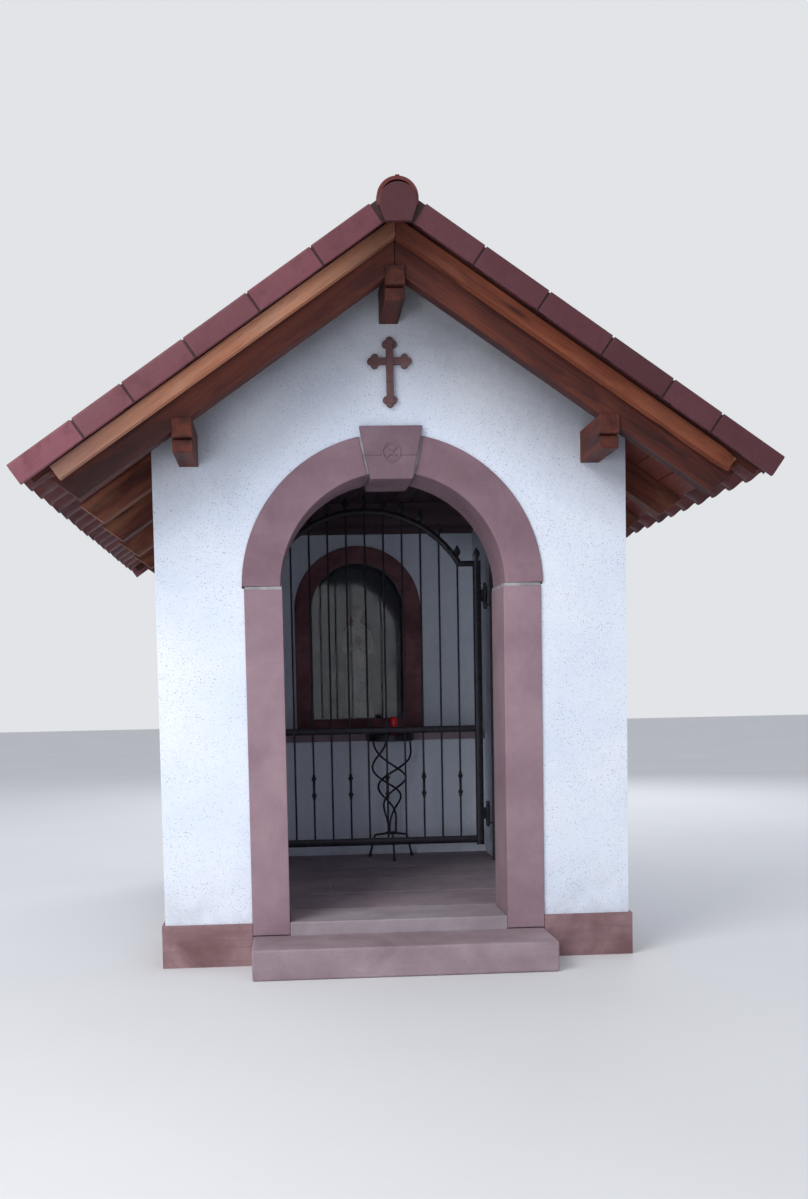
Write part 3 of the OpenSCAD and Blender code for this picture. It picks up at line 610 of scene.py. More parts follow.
def shell(rings: np.ndarray, looped: bool = False, tint: float = 0.5) -> Shell:
    """Joins rings of points into one closed surface.

    Each ring is closed round its points and joined to the next by four-sided faces. The first and the
    last ring are filled, unless the rings themselves form a loop. The sum of the six-fold volumes
    between the faces and the origin tells if the faces point inwards, and then they are turned.

    Args:
        rings: points by ring, by place on the ring, by axis.
        looped: True if the last ring joins the first.
        tint: shade of the piece.

    Returns:
        The closed surface.
    """
    count, around = rings.shape[:2]
    index = np.arange(count * around).reshape(count, around)
    first = index if looped else index[:-1]
    second = np.roll(index, -1, 0) if looped else index[1:]
    quads = np.stack([first, np.roll(first, -1, 1), np.roll(second, -1, 1), second], -1).reshape(-1, 4)
    faces = [quads] if looped else [quads, index[:1, ::-1], index[-1:]]
    points = rings.reshape(-1, 3).astype(float)
    centred = points - points.mean(0)
    volume = 0.0
    for block in faces:
        wedge = np.cross(centred[block[:, 1:-1]], centred[block[:, 2:]])
        volume += float((centred[block[:, :1]] * wedge).sum())
    if volume < 0:
        faces = [block[:, ::-1] for block in faces]
    return Shell(points, faces, points.copy(), tint)


def prism(outline: Outline, start: float, end: float, axis: int = 1) -> Shell:
    """Extrudes an outline along an axis.

    Args:
        outline: points whose two columns are the other two axes, in order.
        start: first place on the axis.
        end: last place on the axis.
        axis: 0, 1 or 2.

    Returns:
        The prism.
    """
    rings = np.empty((2, len(outline), 3))
    rings[:, :, [a for a in range(3) if a != axis]] = outline
    rings[:, :, axis] = np.array([start, end])[:, None]
    return shell(rings)


def slab(low: Place, high: Place) -> Shell:
    """Returns a rectangular block between its lowest and its highest corner."""
    return prism([(low[0], low[2]), (high[0], low[2]), (high[0], high[2]), (low[0], high[2])], low[1], high[1])


def arc(middle: tuple[float, float], radius: float, start: float, end: float, count: int) -> np.ndarray:
    """Returns points on a circle: middle plus radius times cosine and sine of start to end degrees."""
    turn = np.radians(np.linspace(start, end, count))
    return np.stack([middle[0] + radius * np.cos(turn), middle[1] + radius * np.sin(turn)], -1)


def tube(path: np.ndarray, radius: np.ndarray | float, sides: int) -> Shell:
    """Sweeps a circle along a path.

    At each point of the path two directions square to the path are found from one fixed side, and the
    ring is the point plus radius times cosine and sine of the turn along them.

    Args:
        path: points of the middle line.
        radius: one radius, or one for each point.
        sides: points on each ring.

    Returns:
        The tube.
    """
    ahead = np.gradient(path, axis=0)
    ahead /= np.linalg.norm(ahead, axis=1, keepdims=True)
    side = np.cross(ahead, (0.31, 0.95, 0.02))
    side /= np.linalg.norm(side, axis=1, keepdims=True)
    other = np.cross(ahead, side)
    turn = np.linspace(0, 2 * np.pi, sides, endpoint=False)[None, :, None]
    wide = np.broadcast_to(radius, len(path))[:, None, None]
    return shell(path[:, None] + wide * (side[:, None] * np.cos(turn) + other[:, None] * np.sin(turn)))


def lathe(profile: Outline, middle: Place, sides: int = 24, axis: int = 2) -> Shell:
    """Turns a profile round an axis: each of its points gives a ring of that radius at that height.

    Args:
        profile: radius and height of each point. The radii stay above zero.
        middle: the point that heights are measured from.
        sides: points on each ring.
        axis: 0, 1 or 2.

    Returns:
        The turned surface.
    """
    profile = np.asarray(profile, float)
    turn = np.linspace(0, 2 * np.pi, sides, endpoint=False)
    rings = np.empty((len(profile), sides, 3))
    first, second = [a for a in range(3) if a != axis]
    rings[:, :, first] = profile[:, :1] * np.cos(turn)
    rings[:, :, second] = profile[:, :1] * np.sin(turn)
    rings[:, :, axis] = profile[:, 1:]
    return shell(rings + np.array(middle))


def linked(name: str, data: bpy.types.ID) -> bpy.types.Object:
    """Makes an object and links it to the scene.

    Args:
        name: its name.
        data: its mesh, lamp or camera.

    Returns:
        The object.
    """
    made = bpy.data.objects.new(name, data)
    bpy.context.scene.collection.objects.link(made)
    return made


@dataclass(frozen=True)
class Maker:
    """Turns shells into finished pieces of one body."""

    body: Body

    def piece(self, name: str, shells: list[Shell], finish: bpy.types.Material,
              stands_for: tuple[str, ...] = (), bevel: float = 0.0, rounds: int = 2,
              crease: float = 32.0) -> bpy.types.Object:
        """Joins shells into one object with its finish.

        Args:
            name: the piece's name.
            shells: its closed surfaces.
            finish: its material.
            stands_for: solids that it takes the place of.
            bevel: width of the rounded edges, or 0.
            rounds: faces across a rounded edge.
            crease: edges sharper than this many degrees stay sharp.

        Returns:
            The object.
        """
        starts = np.cumsum([0] + [len(s.points) for s in shells[:-1]])
        faces = [face for s, start in zip(shells, starts) for f in s.faces for face in (f + start).tolist()]
        mesh = bpy.data.meshes.new(name)
        mesh.from_pydata(np.concatenate([s.points for s in shells]), [], faces)
        grain = np.concatenate([s.grain for s in shells]).astype(np.float32)
        mesh.attributes.new("grain", "FLOAT_VECTOR", "POINT").data.foreach_set("vector", grain.ravel())
        tint = np.concatenate([np.full(len(s.points), s.tint, np.float32) for s in shells])
        mesh.attributes.new("tint", "FLOAT", "POINT").data.foreach_set("value", tint)
        mesh.polygons.foreach_set("use_smooth", np.ones(len(mesh.polygons), bool))
        mesh.set_sharp_from_angle(angle=math.radians(crease))
        mesh.materials.append(finish)
        mesh.update()
        made = linked(name, mesh)
        if bevel > 0:
            edge = made.modifiers.new("soft_edges", "BEVEL")
            edge.width, edge.segments, edge.limit_method = bevel, rounds, "ANGLE"
            edge.angle_limit, edge.use_clamp_overlap = math.radians(crease), True
        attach(made, self.body.value)
        if stands_for:
            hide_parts(*stands_for)
        LOG.info("%s: %d shells, %d faces", name, len(shells), len(faces))
        return made

    def dress(self, node: str, finish: bpy.types.Material) -> None:
        """Gives a solid of the frame its finish.

        Args:
            node: the solid's name.
            finish: its material.
        """
        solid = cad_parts[node]
        solid.data.materials.clear()
        solid.data.materials.append(finish)
        LOG.info("%s: finished in %s", node, finish.name)


SHRINE = Maker(Body.SHRINE)
GATE = Maker(Body.GATE)


@dataclass(frozen=True)
class Slope:
    """Places things on the right-hand roof slope, measured from the top of the roof boards."""

    apex: float = 3.2775
    pitch: float = math.radians(34.7)

    def place(self, down: np.ndarray, along: np.ndarray, up: np.ndarray) -> np.ndarray:
        """Turns slope measures into places.

        With c and s the cosine and sine of the pitch, x is down c plus up s, and z is the apex less
        down s plus up c.

        Args:
            down: distance down the slope from the apex.
            along: place along the building.
            up: height square to the boards.

        Returns:
            The places.
        """
        down, along, up = np.broadcast_arrays(down, along, up)
        cos, sin = math.cos(self.pitch), math.sin(self.pitch)
        return np.stack([down * cos + up * sin, along, self.apex - down * sin + up * cos], -1)

    def bar(self, section: Outline, start: float, end: float, stations: int = 2) -> Shell:
        """Returns a section, of places along the building and heights above the slope, carried down it."""
        along, up = np.transpose(section)
        return shell(self.place(np.linspace(start, end, stations)[:, None], along[None], up[None]))

    def lath(self, down: tuple[float, float], up: tuple[float, float], ends: tuple[float, float]) -> Shell:
        """Returns a rectangle, of edges down the slope and heights above it, carried along the building."""
        edges, heights = np.array(down)[[0, 1, 1, 0]], np.array(up)[[0, 0, 1, 1]]
        return shell(self.place(edges[None], np.array(ends)[:, None], heights[None]))


SLOPE = Slope()


@dataclass
class Assembly:
    """A sub-assembly of the shrine, with the finishes that it takes its own from."""

    palette: Palette


@dataclass
class Walls(Assembly):
    """Rendered walls on a strip of sandstone."""

    rendered: tuple[str, ...] = ("front_wall_piers", "front_gable", "side_walls", "back_wall", "altar_block")
    stone: tuple[str, ...] = ("plinth_front", "plinth_sides", "plinth_back")

    def build(self) -> None:
        """Dresses the walls and the plinth."""
        for nodes, finish in ((self.rendered, self.palette.render), (self.stone, self.palette.plinth)):
            for node in nodes:
                SHRINE.dress(node, finish)


@dataclass
class Surround(Assembly):
    """Sandstone doorway: two long jambs, an arch of two halves and a keystone between lime joints."""

    half: float = 0.518
    outer: float = 0.696
    spring: float = 1.770
    arch_inner: float = 0.526
    arch_outer: float = 0.706
    face: float = -1.462
    inside: float = -1.150
    bed: float = 0.014
    side_joint: float = 0.010
    recess: float = 0.003
    key_half_angle: float = 11.3
    key_low: float = 0.490
    key_high: float = 0.734
    key_face: float = -1.484
    key_line: float = 0.598
    foot: float = 0.1415
    foot_joint: float = 0.004
    ring_radius: float = 0.046
    ring_width: float = 0.010
    relief: float = 0.005
    ring_places: int = 48
    swell_places: int = 9

    def build(self) -> None:
        """Builds the jambs, the arch, the joints and the keystone."""
        low = self.spring - self.bed / 2
        jamb = slab((self.half, self.face, self.foot), (self.outer, self.inside, low))
        base = slab((self.half, self.face, 0.0), (self.outer, self.inside, self.foot - self.foot_joint))
        SHRINE.piece("door_jamb_stones", both([jamb, base]), self.palette.surround,
                     ("door_jambs",), 0.004, 3)
        start = math.degrees(self.bed / 2 / self.arch_inner)
        end = 90 - self.key_half_angle
        cut = end - math.degrees(self.side_joint * 2 / (self.arch_inner + self.arch_outer))
        SHRINE.piece("door_arch_stones", both([self.ring_stone(start, cut, 0.0)]), self.palette.arch,
                     ("door_arch",), 0.004, 3)
        joint = slab((self.half + self.recess, self.face + self.recess, low),
                     (self.outer - self.recess, self.inside, low + self.bed))
        SHRINE.piece("surround_joints", both([joint, self.ring_stone(cut, end, self.recess)]),
                     self.palette.mortar)
        self.keystone()

    def ring_stone(self, start: float, end: float, recess: float) -> Shell:
        """Carries the arch's square section round the spring point, a ring at each turn.

        Args:
            start: first turn in degrees.
            end: last turn in degrees.
            recess: how far the stone lies back from the arch's faces.

        Returns:
            The stone.
        """
        stations = max(4, int(end - start))
        turn = np.radians(np.linspace(start, end, stations))[:, None]
        radius = np.array([self.arch_inner + recess, self.arch_outer - recess])[[0, 1, 1, 0]]
        depth = np.array([self.face + recess, self.inside - recess])[[0, 0, 1, 1]]
        return shell(np.stack([radius * np.cos(turn), np.broadcast_to(depth, (stations, 4)),
                               self.spring + radius * np.sin(turn)], -1))

    def keystone(self) -> None:
        """Builds the keystone in two courses, with a ring and a diagonal cross in relief.

        The relief swells from the face as the sine of half a turn across its width.
        """
        spread = math.tan(math.radians(self.key_half_angle))
        blocks = []
        for low, high in ((self.key_low, self.key_line), (self.key_line, self.key_high)):
            outline = np.array([(-low * spread, low), (low * spread, low), (high * spread, high),
                                (-high * spread, high)]) + (0, self.spring)
            blocks.append(prism(outline, self.key_face, self.inside))
        SHRINE.piece("keystone_block", blocks, self.palette.keystone, ("keystone",), 0.003)
        middle = (0.0, self.key_face, self.spring + (self.key_low + self.key_high) / 2)
        swell = np.radians(np.linspace(0, 180, self.swell_places))
        rise = -self.relief * np.sin(swell)
        turn = np.radians(np.linspace(0, 360, self.ring_places, endpoint=False))[:, None]
        radius = self.ring_radius - self.ring_width / 2 * (1 + np.cos(swell))
        across, up = radius * np.cos(turn), radius * np.sin(turn)
        ring = np.stack([across, np.broadcast_to(rise, across.shape), up], -1)
        reliefs = [shell(ring + middle, True)]
        reach = (self.ring_radius - self.ring_width) * math.sqrt(0.5)
        for way in (1, -1):
            ends = np.array([[-reach, 0.0, -way * reach], [reach, 0.0, way * reach]]) + middle
            across = np.array([-way, 0.0, 1.0]) * self.ring_width / 2 * math.sqrt(0.5)
            bow = np.cos(swell)[:, None] * across
            bow[:, 1] = rise
            reliefs.append(shell(ends[:, None] + bow[None]))
        SHRINE.piece("keystone_ornament", reliefs, self.palette.keystone)


@dataclass
class Entrance(Assembly):
    """Sandstone step, threshold and paved floor."""

    step_half: float = 0.693
    step_front: float = -1.770
    step_high: float = 0.139
    sill_half: float = 0.518
    sill_front: float = -1.462
    inside: float = -1.150
    back: float = 1.150
    floor: float = 0.201
    room_half: float = 0.805
    flag_wide: float = 0.62
    flag_long: float = 0.45
    flag_thick: float = 0.035
    flag_least: float = 0.03
    first_joint_x: float = 0.02
    first_joint_y: float = -0.70
    joint: float = 0.007
    cross_joint: float = 0.018
    mortar_below: float = 0.0015

    def build(self) -> None:
        """Builds the step, the threshold and the floor."""
        step = slab((-self.step_half, self.step_front, 0), (self.step_half, self.sill_front, self.step_high))
        SHRINE.piece("entrance_step_stone", [step], self.palette.step, ("entrance_step",),
                     0.009, 4)
        sill = slab((-self.sill_half, self.sill_front, 0), (self.sill_half, self.inside, self.floor))
        SHRINE.piece("threshold_stone", [sill], self.palette.threshold, ("threshold",), 0.006, 3)
        bed = slab((-self.room_half, self.inside, 0),
                   (self.room_half, self.back, self.floor - self.mortar_below))
        rows = self.edges(self.first_joint_y, self.flag_long, self.inside, self.back)
        columns = [self.edges(self.first_joint_x + shift, self.flag_wide, -self.room_half, self.room_half)
                   for shift in (0.0, self.flag_wide / 2)]
        half, across = self.joint / 2, self.cross_joint / 2
        flags = []
        for row, (y0, y1) in enumerate(zip(rows, rows[1:])):
            places = columns[row % 2]
            flags += [slab((x0 + half, y0 + across, self.floor - self.flag_thick),
                           (x1 - half, y1 - across, self.floor)) for x0, x1 in zip(places, places[1:])]
        SHRINE.piece("floor_flags", flags, self.palette.paving, ("floor_slab",), 0.002)
        SHRINE.piece("floor_bed", [bed], self.palette.floor_mortar)

    def edges(self, joint: float, pitch: float, low: float, high: float) -> list[float]:
        """Spaces joints from one that is known.

        Args:
            joint: place of the known joint.
            pitch: distance between joints.
            low: lower end of the floor.
            high: upper end of the floor.

        Returns:
            The ends and the joints between them, in order.
        """
        places = joint + pitch * np.arange(-12, 13)
        inner = places[(places > low + self.flag_least) & (places < high - self.flag_least)]
        return [low, *inner.tolist(), high]


@dataclass
class GableCross(Assembly):
    """Weathered budded cross on the gable, its upright raised over its arms."""

    foot: float = 2.588
    high: float = 0.321
    arm_height: float = 2.798
    arm_reach: float = 0.103
    bar: float = 0.032
    bud: float = 0.017
    back: float = -1.460
    face: float = -1.480
    raised: float = -1.485
    wall: float = -1.450
    stud: float = 0.011

    def build(self) -> None:
        """Builds the bars, the buds and the two studs behind."""
        middle, half, bud = self.foot + self.high / 2, self.bar / 2, self.bud
        long_half, arm_half = self.high / 2 - 2 * bud, self.arm_reach - 2 * bud
        parts = [slab((-half, self.raised, middle - long_half - bud),
                      (half, self.back, middle + long_half + bud)),
                 slab((-arm_half - bud, self.face, self.arm_height - half),
                      (arm_half + bud, self.back, self.arm_height + half))]
        long = self.wall - self.back
        pin = [(TIP, 0.0), (self.stud, 0.0), (self.stud, long), (TIP, long)]
        parts += [lathe(pin, (0, self.back, z), 16, 1) for z in (self.arm_height, self.foot + 2 * bud)]
        SHRINE.piece("gable_cross_bars", parts, self.palette.cross, ("gable_cross",), 0.003)
        ends = ((0.0, middle + long_half, 0, 1), (0.0, middle - long_half, 0, -1),
                (arm_half, self.arm_height, 1, 0), (-arm_half, self.arm_height, -1, 0))
        buds = [self.lobe(x + bud * (out * dx + side * dz), z + bud * (out * dz + side * dx))
                for x, z, dx, dz in ends for out, side in ((1, 0), (0, 1), (0, -1))]
        SHRINE.piece("gable_cross_buds", buds, self.palette.cross)

    def lobe(self, x: float, z: float) -> Shell:
        """Turns a round bud whose face bulges: depth falls from the face as one minus the cosine.

        Args:
            x: its middle across.
            z: its height.

        Returns:
            The bud.
        """
        rise = np.radians(np.linspace(0, 90, 7))
        thick, tip = self.back - self.face, 0.8 * TIP
        front = np.stack([self.bud * (0.35 + 0.65 * np.sin(rise)), 0.40 * thick * (1 - np.cos(rise))], -1)
        return lathe(np.concatenate([[(tip, 0.0)], front, [(self.bud, thick), (tip, thick)]]),
                     (x, self.face, z), 20, 1)


@dataclass
class RoofTimber(Assembly):
    """Open roof timbers: purlins with stepped heads, six pairs of rafters, boards and verge boards."""

    apex: float = 3.0950
    top_apex: float = 3.2531
    reach: float = 1.385
    tail: float = 1.4964
    first: float = -1.786
    step: float = 0.6768
    width: float = 0.080
    pairs: int = 6
    front: float = -1.795
    back: float = 1.687
    ridge_top: float = 3.117
    side_top: float = 2.4756
    side_at: float = 0.935
    purlin_half: float = 0.044
    purlin_high: float = 0.145
    upper_block: float = 0.084
    groove: float = 0.006
    setback: float = 0.024
    skin: float = 0.0012
    skin_inset: float = 0.004
    board_front: float = -1.806
    board_back: float = 1.698
    board_start: float = 0.016
    board_thick: float = 0.020
    board_wide: float = 0.140
    board_gap: float = 0.003
    board_shift: float = 0.0015
    nail_inset: float = 0.02
    verge_thick: float = 0.050
    verge_low: float = -0.052
    verge_high: float = 0.014
    verge_end: float = 1.804
    mitre: float = 0.001

    def build(self) -> None:
        """Builds every timber of the roof."""
        chance = np.random.default_rng(11)
        palette = self.palette
        ridge, *sides = [self.purlin(x, top).fibred(Fibre.ALONG_Y, chance, 0.2) for x, top in (
            (0.0, self.ridge_top), (self.side_at, self.side_top), (-self.side_at, self.side_top))]
        SHRINE.piece("ridge_purlin_beam", [ridge], palette.dark_timber, ("ridge_purlin",), 0.003)
        SHRINE.piece("side_purlin_beams", sides, palette.dark_timber, ("side_purlins",), 0.003)
        places = self.first + self.step * np.arange(self.pairs)
        first, *rest = [prism(self.rafter(), y, y + self.width).fibred(Fibre.DOWN_SLOPE, chance, 0.3)
                        for y in places]
        SHRINE.piece("front_rafter_pair", both([first]), palette.dark_timber,
                     ("front_rafters",), 0.003)
        SHRINE.piece("rear_rafter_pairs", both(rest), palette.warm_timber,
                     ("rear_rafters",), 0.003)
        cuts = [prism(self.saw_cut(), y + self.skin_inset, y + self.width - self.skin_inset)
                .fibred(Fibre.ALONG_X, chance, 1.0) for y in places[1:]]
        SHRINE.piece("rafter_saw_cuts", both(cuts), palette.warm_timber)
        self.boards(chance)
        self.verge_boards(chance)

    def purlin(self, x: float, top: float) -> Shell:
        """Makes a purlin: an upper block, a groove and a lower block set back, at both heads.

        Args:
            x: its middle.
            top: its upper side.

        Returns:
            The purlin.
        """
        low, step = top - self.purlin_high, top - self.upper_block
        ledge, off = step - self.groove, self.setback
        head = [(0, top), (0, step), (2 * off, step), (2 * off, ledge), (off, ledge), (off, low)]
        outline = [(self.front + y, z) for y, z in head] + [(self.back - y, z) for y, z in head[::-1]]
        return prism(outline, x - self.purlin_half, x + self.purlin_half, 0)

    def rafter(self) -> np.ndarray:
        """Draws a right-hand rafter: the underside down to the sloping tail, then the top.

        Returns:
            The outline, across and up.
        """
        x = np.array([self.mitre, self.reach, self.tail, self.mitre])
        drop = np.array([0.0, self.reach, self.tail, 0.0]) * math.tan(SLOPE.pitch)
        return np.stack([x, np.array([self.apex, self.apex, self.top_apex, self.top_apex]) - drop], -1)

    def saw_cut(self) -> np.ndarray:
        """Draws the thin pale skin of end grain on a rafter's tail: the tail's edge, inset and moved out.

        Returns:
            The outline, across and up.
        """
        low, high = self.rafter()[1:3]
        edge = (high - low) / np.linalg.norm(high - low)
        out = np.array([edge[1], -edge[0]]) * self.skin
        foot, head = low + self.skin_inset * edge, high - self.skin_inset * edge
        return np.array([foot, foot + out, head + out, head])

    def boards(self, chance: np.random.Generator) -> None:
        """Lays the roof boards side by side from the ridge to the tails, with nail heads below.

        Args:
            chance: source of the timbers' differences.
        """
        total = self.tail / math.cos(SLOPE.pitch)
        edges = np.linspace(self.board_start, total, round(total / self.board_wide) + 1)
        planks = []
        for low, high in zip(edges, edges[1:]):
            under = float(chance.uniform(0, self.board_shift)) - self.board_thick
            planks.append(SLOPE.lath((low + self.board_gap, high), (under, -0.0005),
                                     (self.board_front, self.board_back)).fibred(Fibre.ALONG_Y, chance))
        SHRINE.piece("roof_planks", both(planks), self.palette.board_timber,
                     ("roof_boards",), 0.0015, 1)
        head = [(0.0004, -0.0026), (0.0022, -0.0022), (0.0034, -0.0008), (0.0036, 0.001), (0.0004, 0.001)]
        places = [self.first + self.width + (bay + share) * (self.step - 0.01)
                  for bay in range(self.pairs - 1) for share in (0.16, 0.84)]
        nails = [lathe(head, tuple(SLOPE.place(low + self.nail_inset, y, -self.board_thick)), 6)
                 for low in edges[1:-1] for y in places]
        SHRINE.piece("board_nail_heads", both(nails), self.palette.iron)

    def verge_boards(self, chance: np.random.Generator) -> None:
        """Builds the four squared boards under the verge tiles: the right ones are painted darker as shade, one
        is broken.

        Args:
            chance: source of the timbers' differences.
        """
        pale, tan = [], []
        for low, high in ((self.board_front - self.verge_thick, self.board_front),
                          (self.board_back, self.board_back + self.verge_thick)):
            for right in (True, False):
                board = self.verge_board(low, high, right and low < 0, chance)
                board = board.fibred(Fibre.DOWN_SLOPE, chance, 0.1)
                (tan if right else pale).append(board if right else board.mirrored())
        # Left boards painted lit, right boards painted shaded
        SHRINE.piece("left_verge_boards", pale, self.palette.lit_verge_timber,
                     ("verge_boards",), 0.003)
        SHRINE.piece("right_verge_boards", tan, self.palette.shaded_verge_timber, (), 0.003)

    def verge_board(self, low: float, high: float, hurt: bool, chance: np.random.Generator) -> Shell:
        """Carries the board's square section down the slope, mitred at the apex.

        Near a broken end each corner of the section draws back by a chance share that grows towards
        the end, so that the end is splintered.

        Args:
            low: its front.
            high: its back.
            hurt: True for the broken end.
            chance: source of the splinters.

        Returns:
            The board.
        """
        corners = np.array([(low, self.verge_low), (high, self.verge_low), (high, self.verge_high),
                            (low, self.verge_high)])
        thirds = np.arange(3)[:, None] / 3
        section = np.concatenate([a + (b - a) * thirds for a, b in zip(corners, np.roll(corners, -1, 0))])
        last = 8
        down = np.concatenate([[0.0], np.linspace(0.05, self.verge_end - 0.12, 12),
                               np.linspace(self.verge_end - 0.10, self.verge_end, last)])
        rings = SLOPE.place(down[:, None], section[None, :, 0], section[None, :, 1])
        rings[0, :, 0] = self.mitre
        rings[0, :, 2] = SLOPE.apex + section[:, 1] / math.cos(SLOPE.pitch)
        if hurt:
            middle = rings[-last:].mean(1, keepdims=True)
            grows = np.linspace(0, 1, last)[:, None, None] ** 1.6
            share = grows * chance.uniform(0.05, 0.55, (1, len(section), 1))
            rings[-last:] = rings[-last:] * (1 - share) + middle * share
            back = chance.uniform(0.0, 0.05, len(section))
            rings[-1] -= back[:, None] * np.array([math.cos(SLOPE.pitch), 0, -math.sin(SLOPE.pitch)])
        return shell(rings)


@dataclass
class TileRoof(Assembly):
    """Interlocking clay tiles in rows that line up with the verge tiles, on battens."""

    row_ends: tuple[float, ...] = (0.385, 0.713, 1.042, 1.358, 1.614, 1.942)
    top: float = 0.035
    lap: float = 0.070
    front: float = -1.806
    back: float = 1.698
    columns: int = 17
    trough: float = 0.034
    swell: float = 0.029
    climb: float = 0.003
    thick: float = 0.011
    tilt: float = 0.015
    nose: float = 0.007
    batten_end: float = 1.812
    batten_wide: float = 0.048
    batten_top: float = 0.026

    def build(self) -> None:
        """Lays the tiles and the battens on both slopes."""
        chance = np.random.default_rng(23)
        tiles = []
        starts = (self.top + self.lap, *self.row_ends[:-1])
        edges = np.linspace(self.front, self.back, self.columns + 1)
        for start, end in zip(starts, self.row_ends):
            for low, high in zip(edges, edges[1:]):
                for right in (True, False):
                    tile = self.tile(start - self.lap, end, low, high, chance)
                    tiles.append(tile if right else tile.mirrored())
        SHRINE.piece("roof_tiles", tiles, self.palette.tile, ("tile_cover",), crease=48)
        battens = []
        for end in self.row_ends:
            down = min(end - 0.05, self.batten_end)
            batten = SLOPE.lath((down - self.batten_wide, down), (0.0005, self.batten_top),
                                (self.front + 0.004, self.back - 0.004))
            battens.append(batten.fibred(Fibre.ALONG_Y, chance))
        SHRINE.piece("tile_battens", both(battens), self.palette.board_timber, (), 0.002, 1)

    def tile(self, start: float, end: float, low: float, high: float, chance: np.random.Generator) -> Shell:
        """Makes one tile as a closed sheet.

        Across its width the height is the trough plus a round roll near one side, a raised cosine to the
        power 1.6, and the far side climbs a little over its neighbour. It tilts up towards its lower end.

        Args:
            start: its upper end.
            end: its lower end.
            low: its front side.
            high: its back side.
            chance: source of its small differences.

        Returns:
            The tile.
        """
        share = np.linspace(0, 1, 15)
        roll = (0.5 + 0.5 * np.cos(2 * np.pi * (share - 0.30))) ** 1.6
        crown = self.trough + self.swell * roll + self.climb * np.clip(share - 0.9, 0, 1) / 0.1
        along = low + (high - low) * share
        down = np.array([start, (start + end) / 2, end - 0.022, end]) + chance.uniform(-0.002, 0.002)
        lift = self.tilt * (down - start) / (end - start) + chance.uniform(-0.0008, 0.0008)
        upper = crown[None] + lift[:, None]
        under = upper - np.array([self.thick] * 3 + [self.thick + self.nose])[:, None]
        heights = np.concatenate([upper, under[:, ::-1]], 1)
        rings = SLOPE.place(down[:, None], np.concatenate([along, along[::-1]])[None], heights)
        return shell(rings, tint=float(chance.uniform(0.1, 0.95)))


@dataclass
class VergeTiles(Assembly):
    """Smooth angled tiles along both gables, six a side, with open joints between them."""

    joints: tuple[float, ...] = TileRoof.row_ends[:-1]
    start: float = 0.078
    end: float = 1.946
    front: float = -1.958
    front_inside: float = -1.806
    back: float = 1.850
    back_inside: float = 1.698
    low: float = -0.005
    high: float = 0.094
    thick: float = 0.020
    joint: float = 0.009
    corner: float = 0.012
    lap_inset: float = 0.005
    lap_up: float = 0.03
    lap_down: float = 0.05
    lath_thick: float = 0.026
    lath_high: float = 0.0735
    lath_start: float = 0.032
    lath_end: float = 1.900

    def build(self) -> None:
        """Builds the verge tiles of both gables, the laps under their upper ends, and the laths inside."""
        chance = np.random.default_rng(31)
        tiles, laps, laths = [], [], []
        edges = (self.start, *self.joints, self.end)
        gables = ((self.front, self.front_inside), (self.back, self.back_inside))
        for outer, inner in gables:
            section, lap = (self.section(outer, inner, inset) for inset in (0.0, self.lap_inset))
            laps += [SLOPE.bar(lap, joint - self.lap_up, joint + self.lap_down) for joint in edges[:-1]]
            for top, bottom in zip(edges, edges[1:]):
                for right in (True, False):
                    # Painted shade: right-hand tiles take the dark tints and left-hand tiles the light ones,
                    # for light from the left
                    tint = float(chance.uniform(0.0, 0.25) if right else chance.uniform(0.5, 1.0))
                    tile = SLOPE.bar(section, top + self.joint / 2, bottom - self.joint / 2, 3).tinted(tint)
                    tiles.append(tile if right else tile.mirrored())
        SHRINE.piece("verge_tile_row", tiles, self.palette.verge_tile, ("verge_tiles",),
                     0.0022, 2, 40)
        # The laps' dark clay is painted shade seen through the open joints
        SHRINE.piece("verge_tile_laps", both(laps), self.palette.lap)
        for outer, inner in gables:
            way = math.copysign(1.0, outer - inner)
            near, far = sorted((inner + way * 0.002, inner + way * self.lath_thick))
            section = [(near, 0.0005), (far, 0.0005), (far, self.lath_high), (near, self.lath_high)]
            laths.append(SLOPE.bar(section, self.lath_start, self.lath_end).fibred(Fibre.DOWN_SLOPE, chance))
        SHRINE.piece("verge_laths", both(laths), self.palette.dark_timber)

    def section(self, outer: float, inner: float, inset: float) -> np.ndarray:
        """Draws the angle of a verge tile: a hanging face, a round outer corner and a flat leg.

        Args:
            outer: place of the face.
            inner: end of the flat leg.
            inset: how far the outside lies within the tile's own.

        Returns:
            Places along the building and heights square to the slope.
        """
        way = math.copysign(1.0, inner - outer)
        face, high = outer + way * inset, self.high - inset
        crest = arc((self.corner, high - self.corner), self.corner, 180, 90, 6) * (way, 1) + (face, 0)
        under, shin = self.high - self.thick, outer + way * self.thick
        return np.concatenate([[(face, self.low)], crest,
                               [(inner, high), (inner, under), (shin, under), (shin, self.low)]])


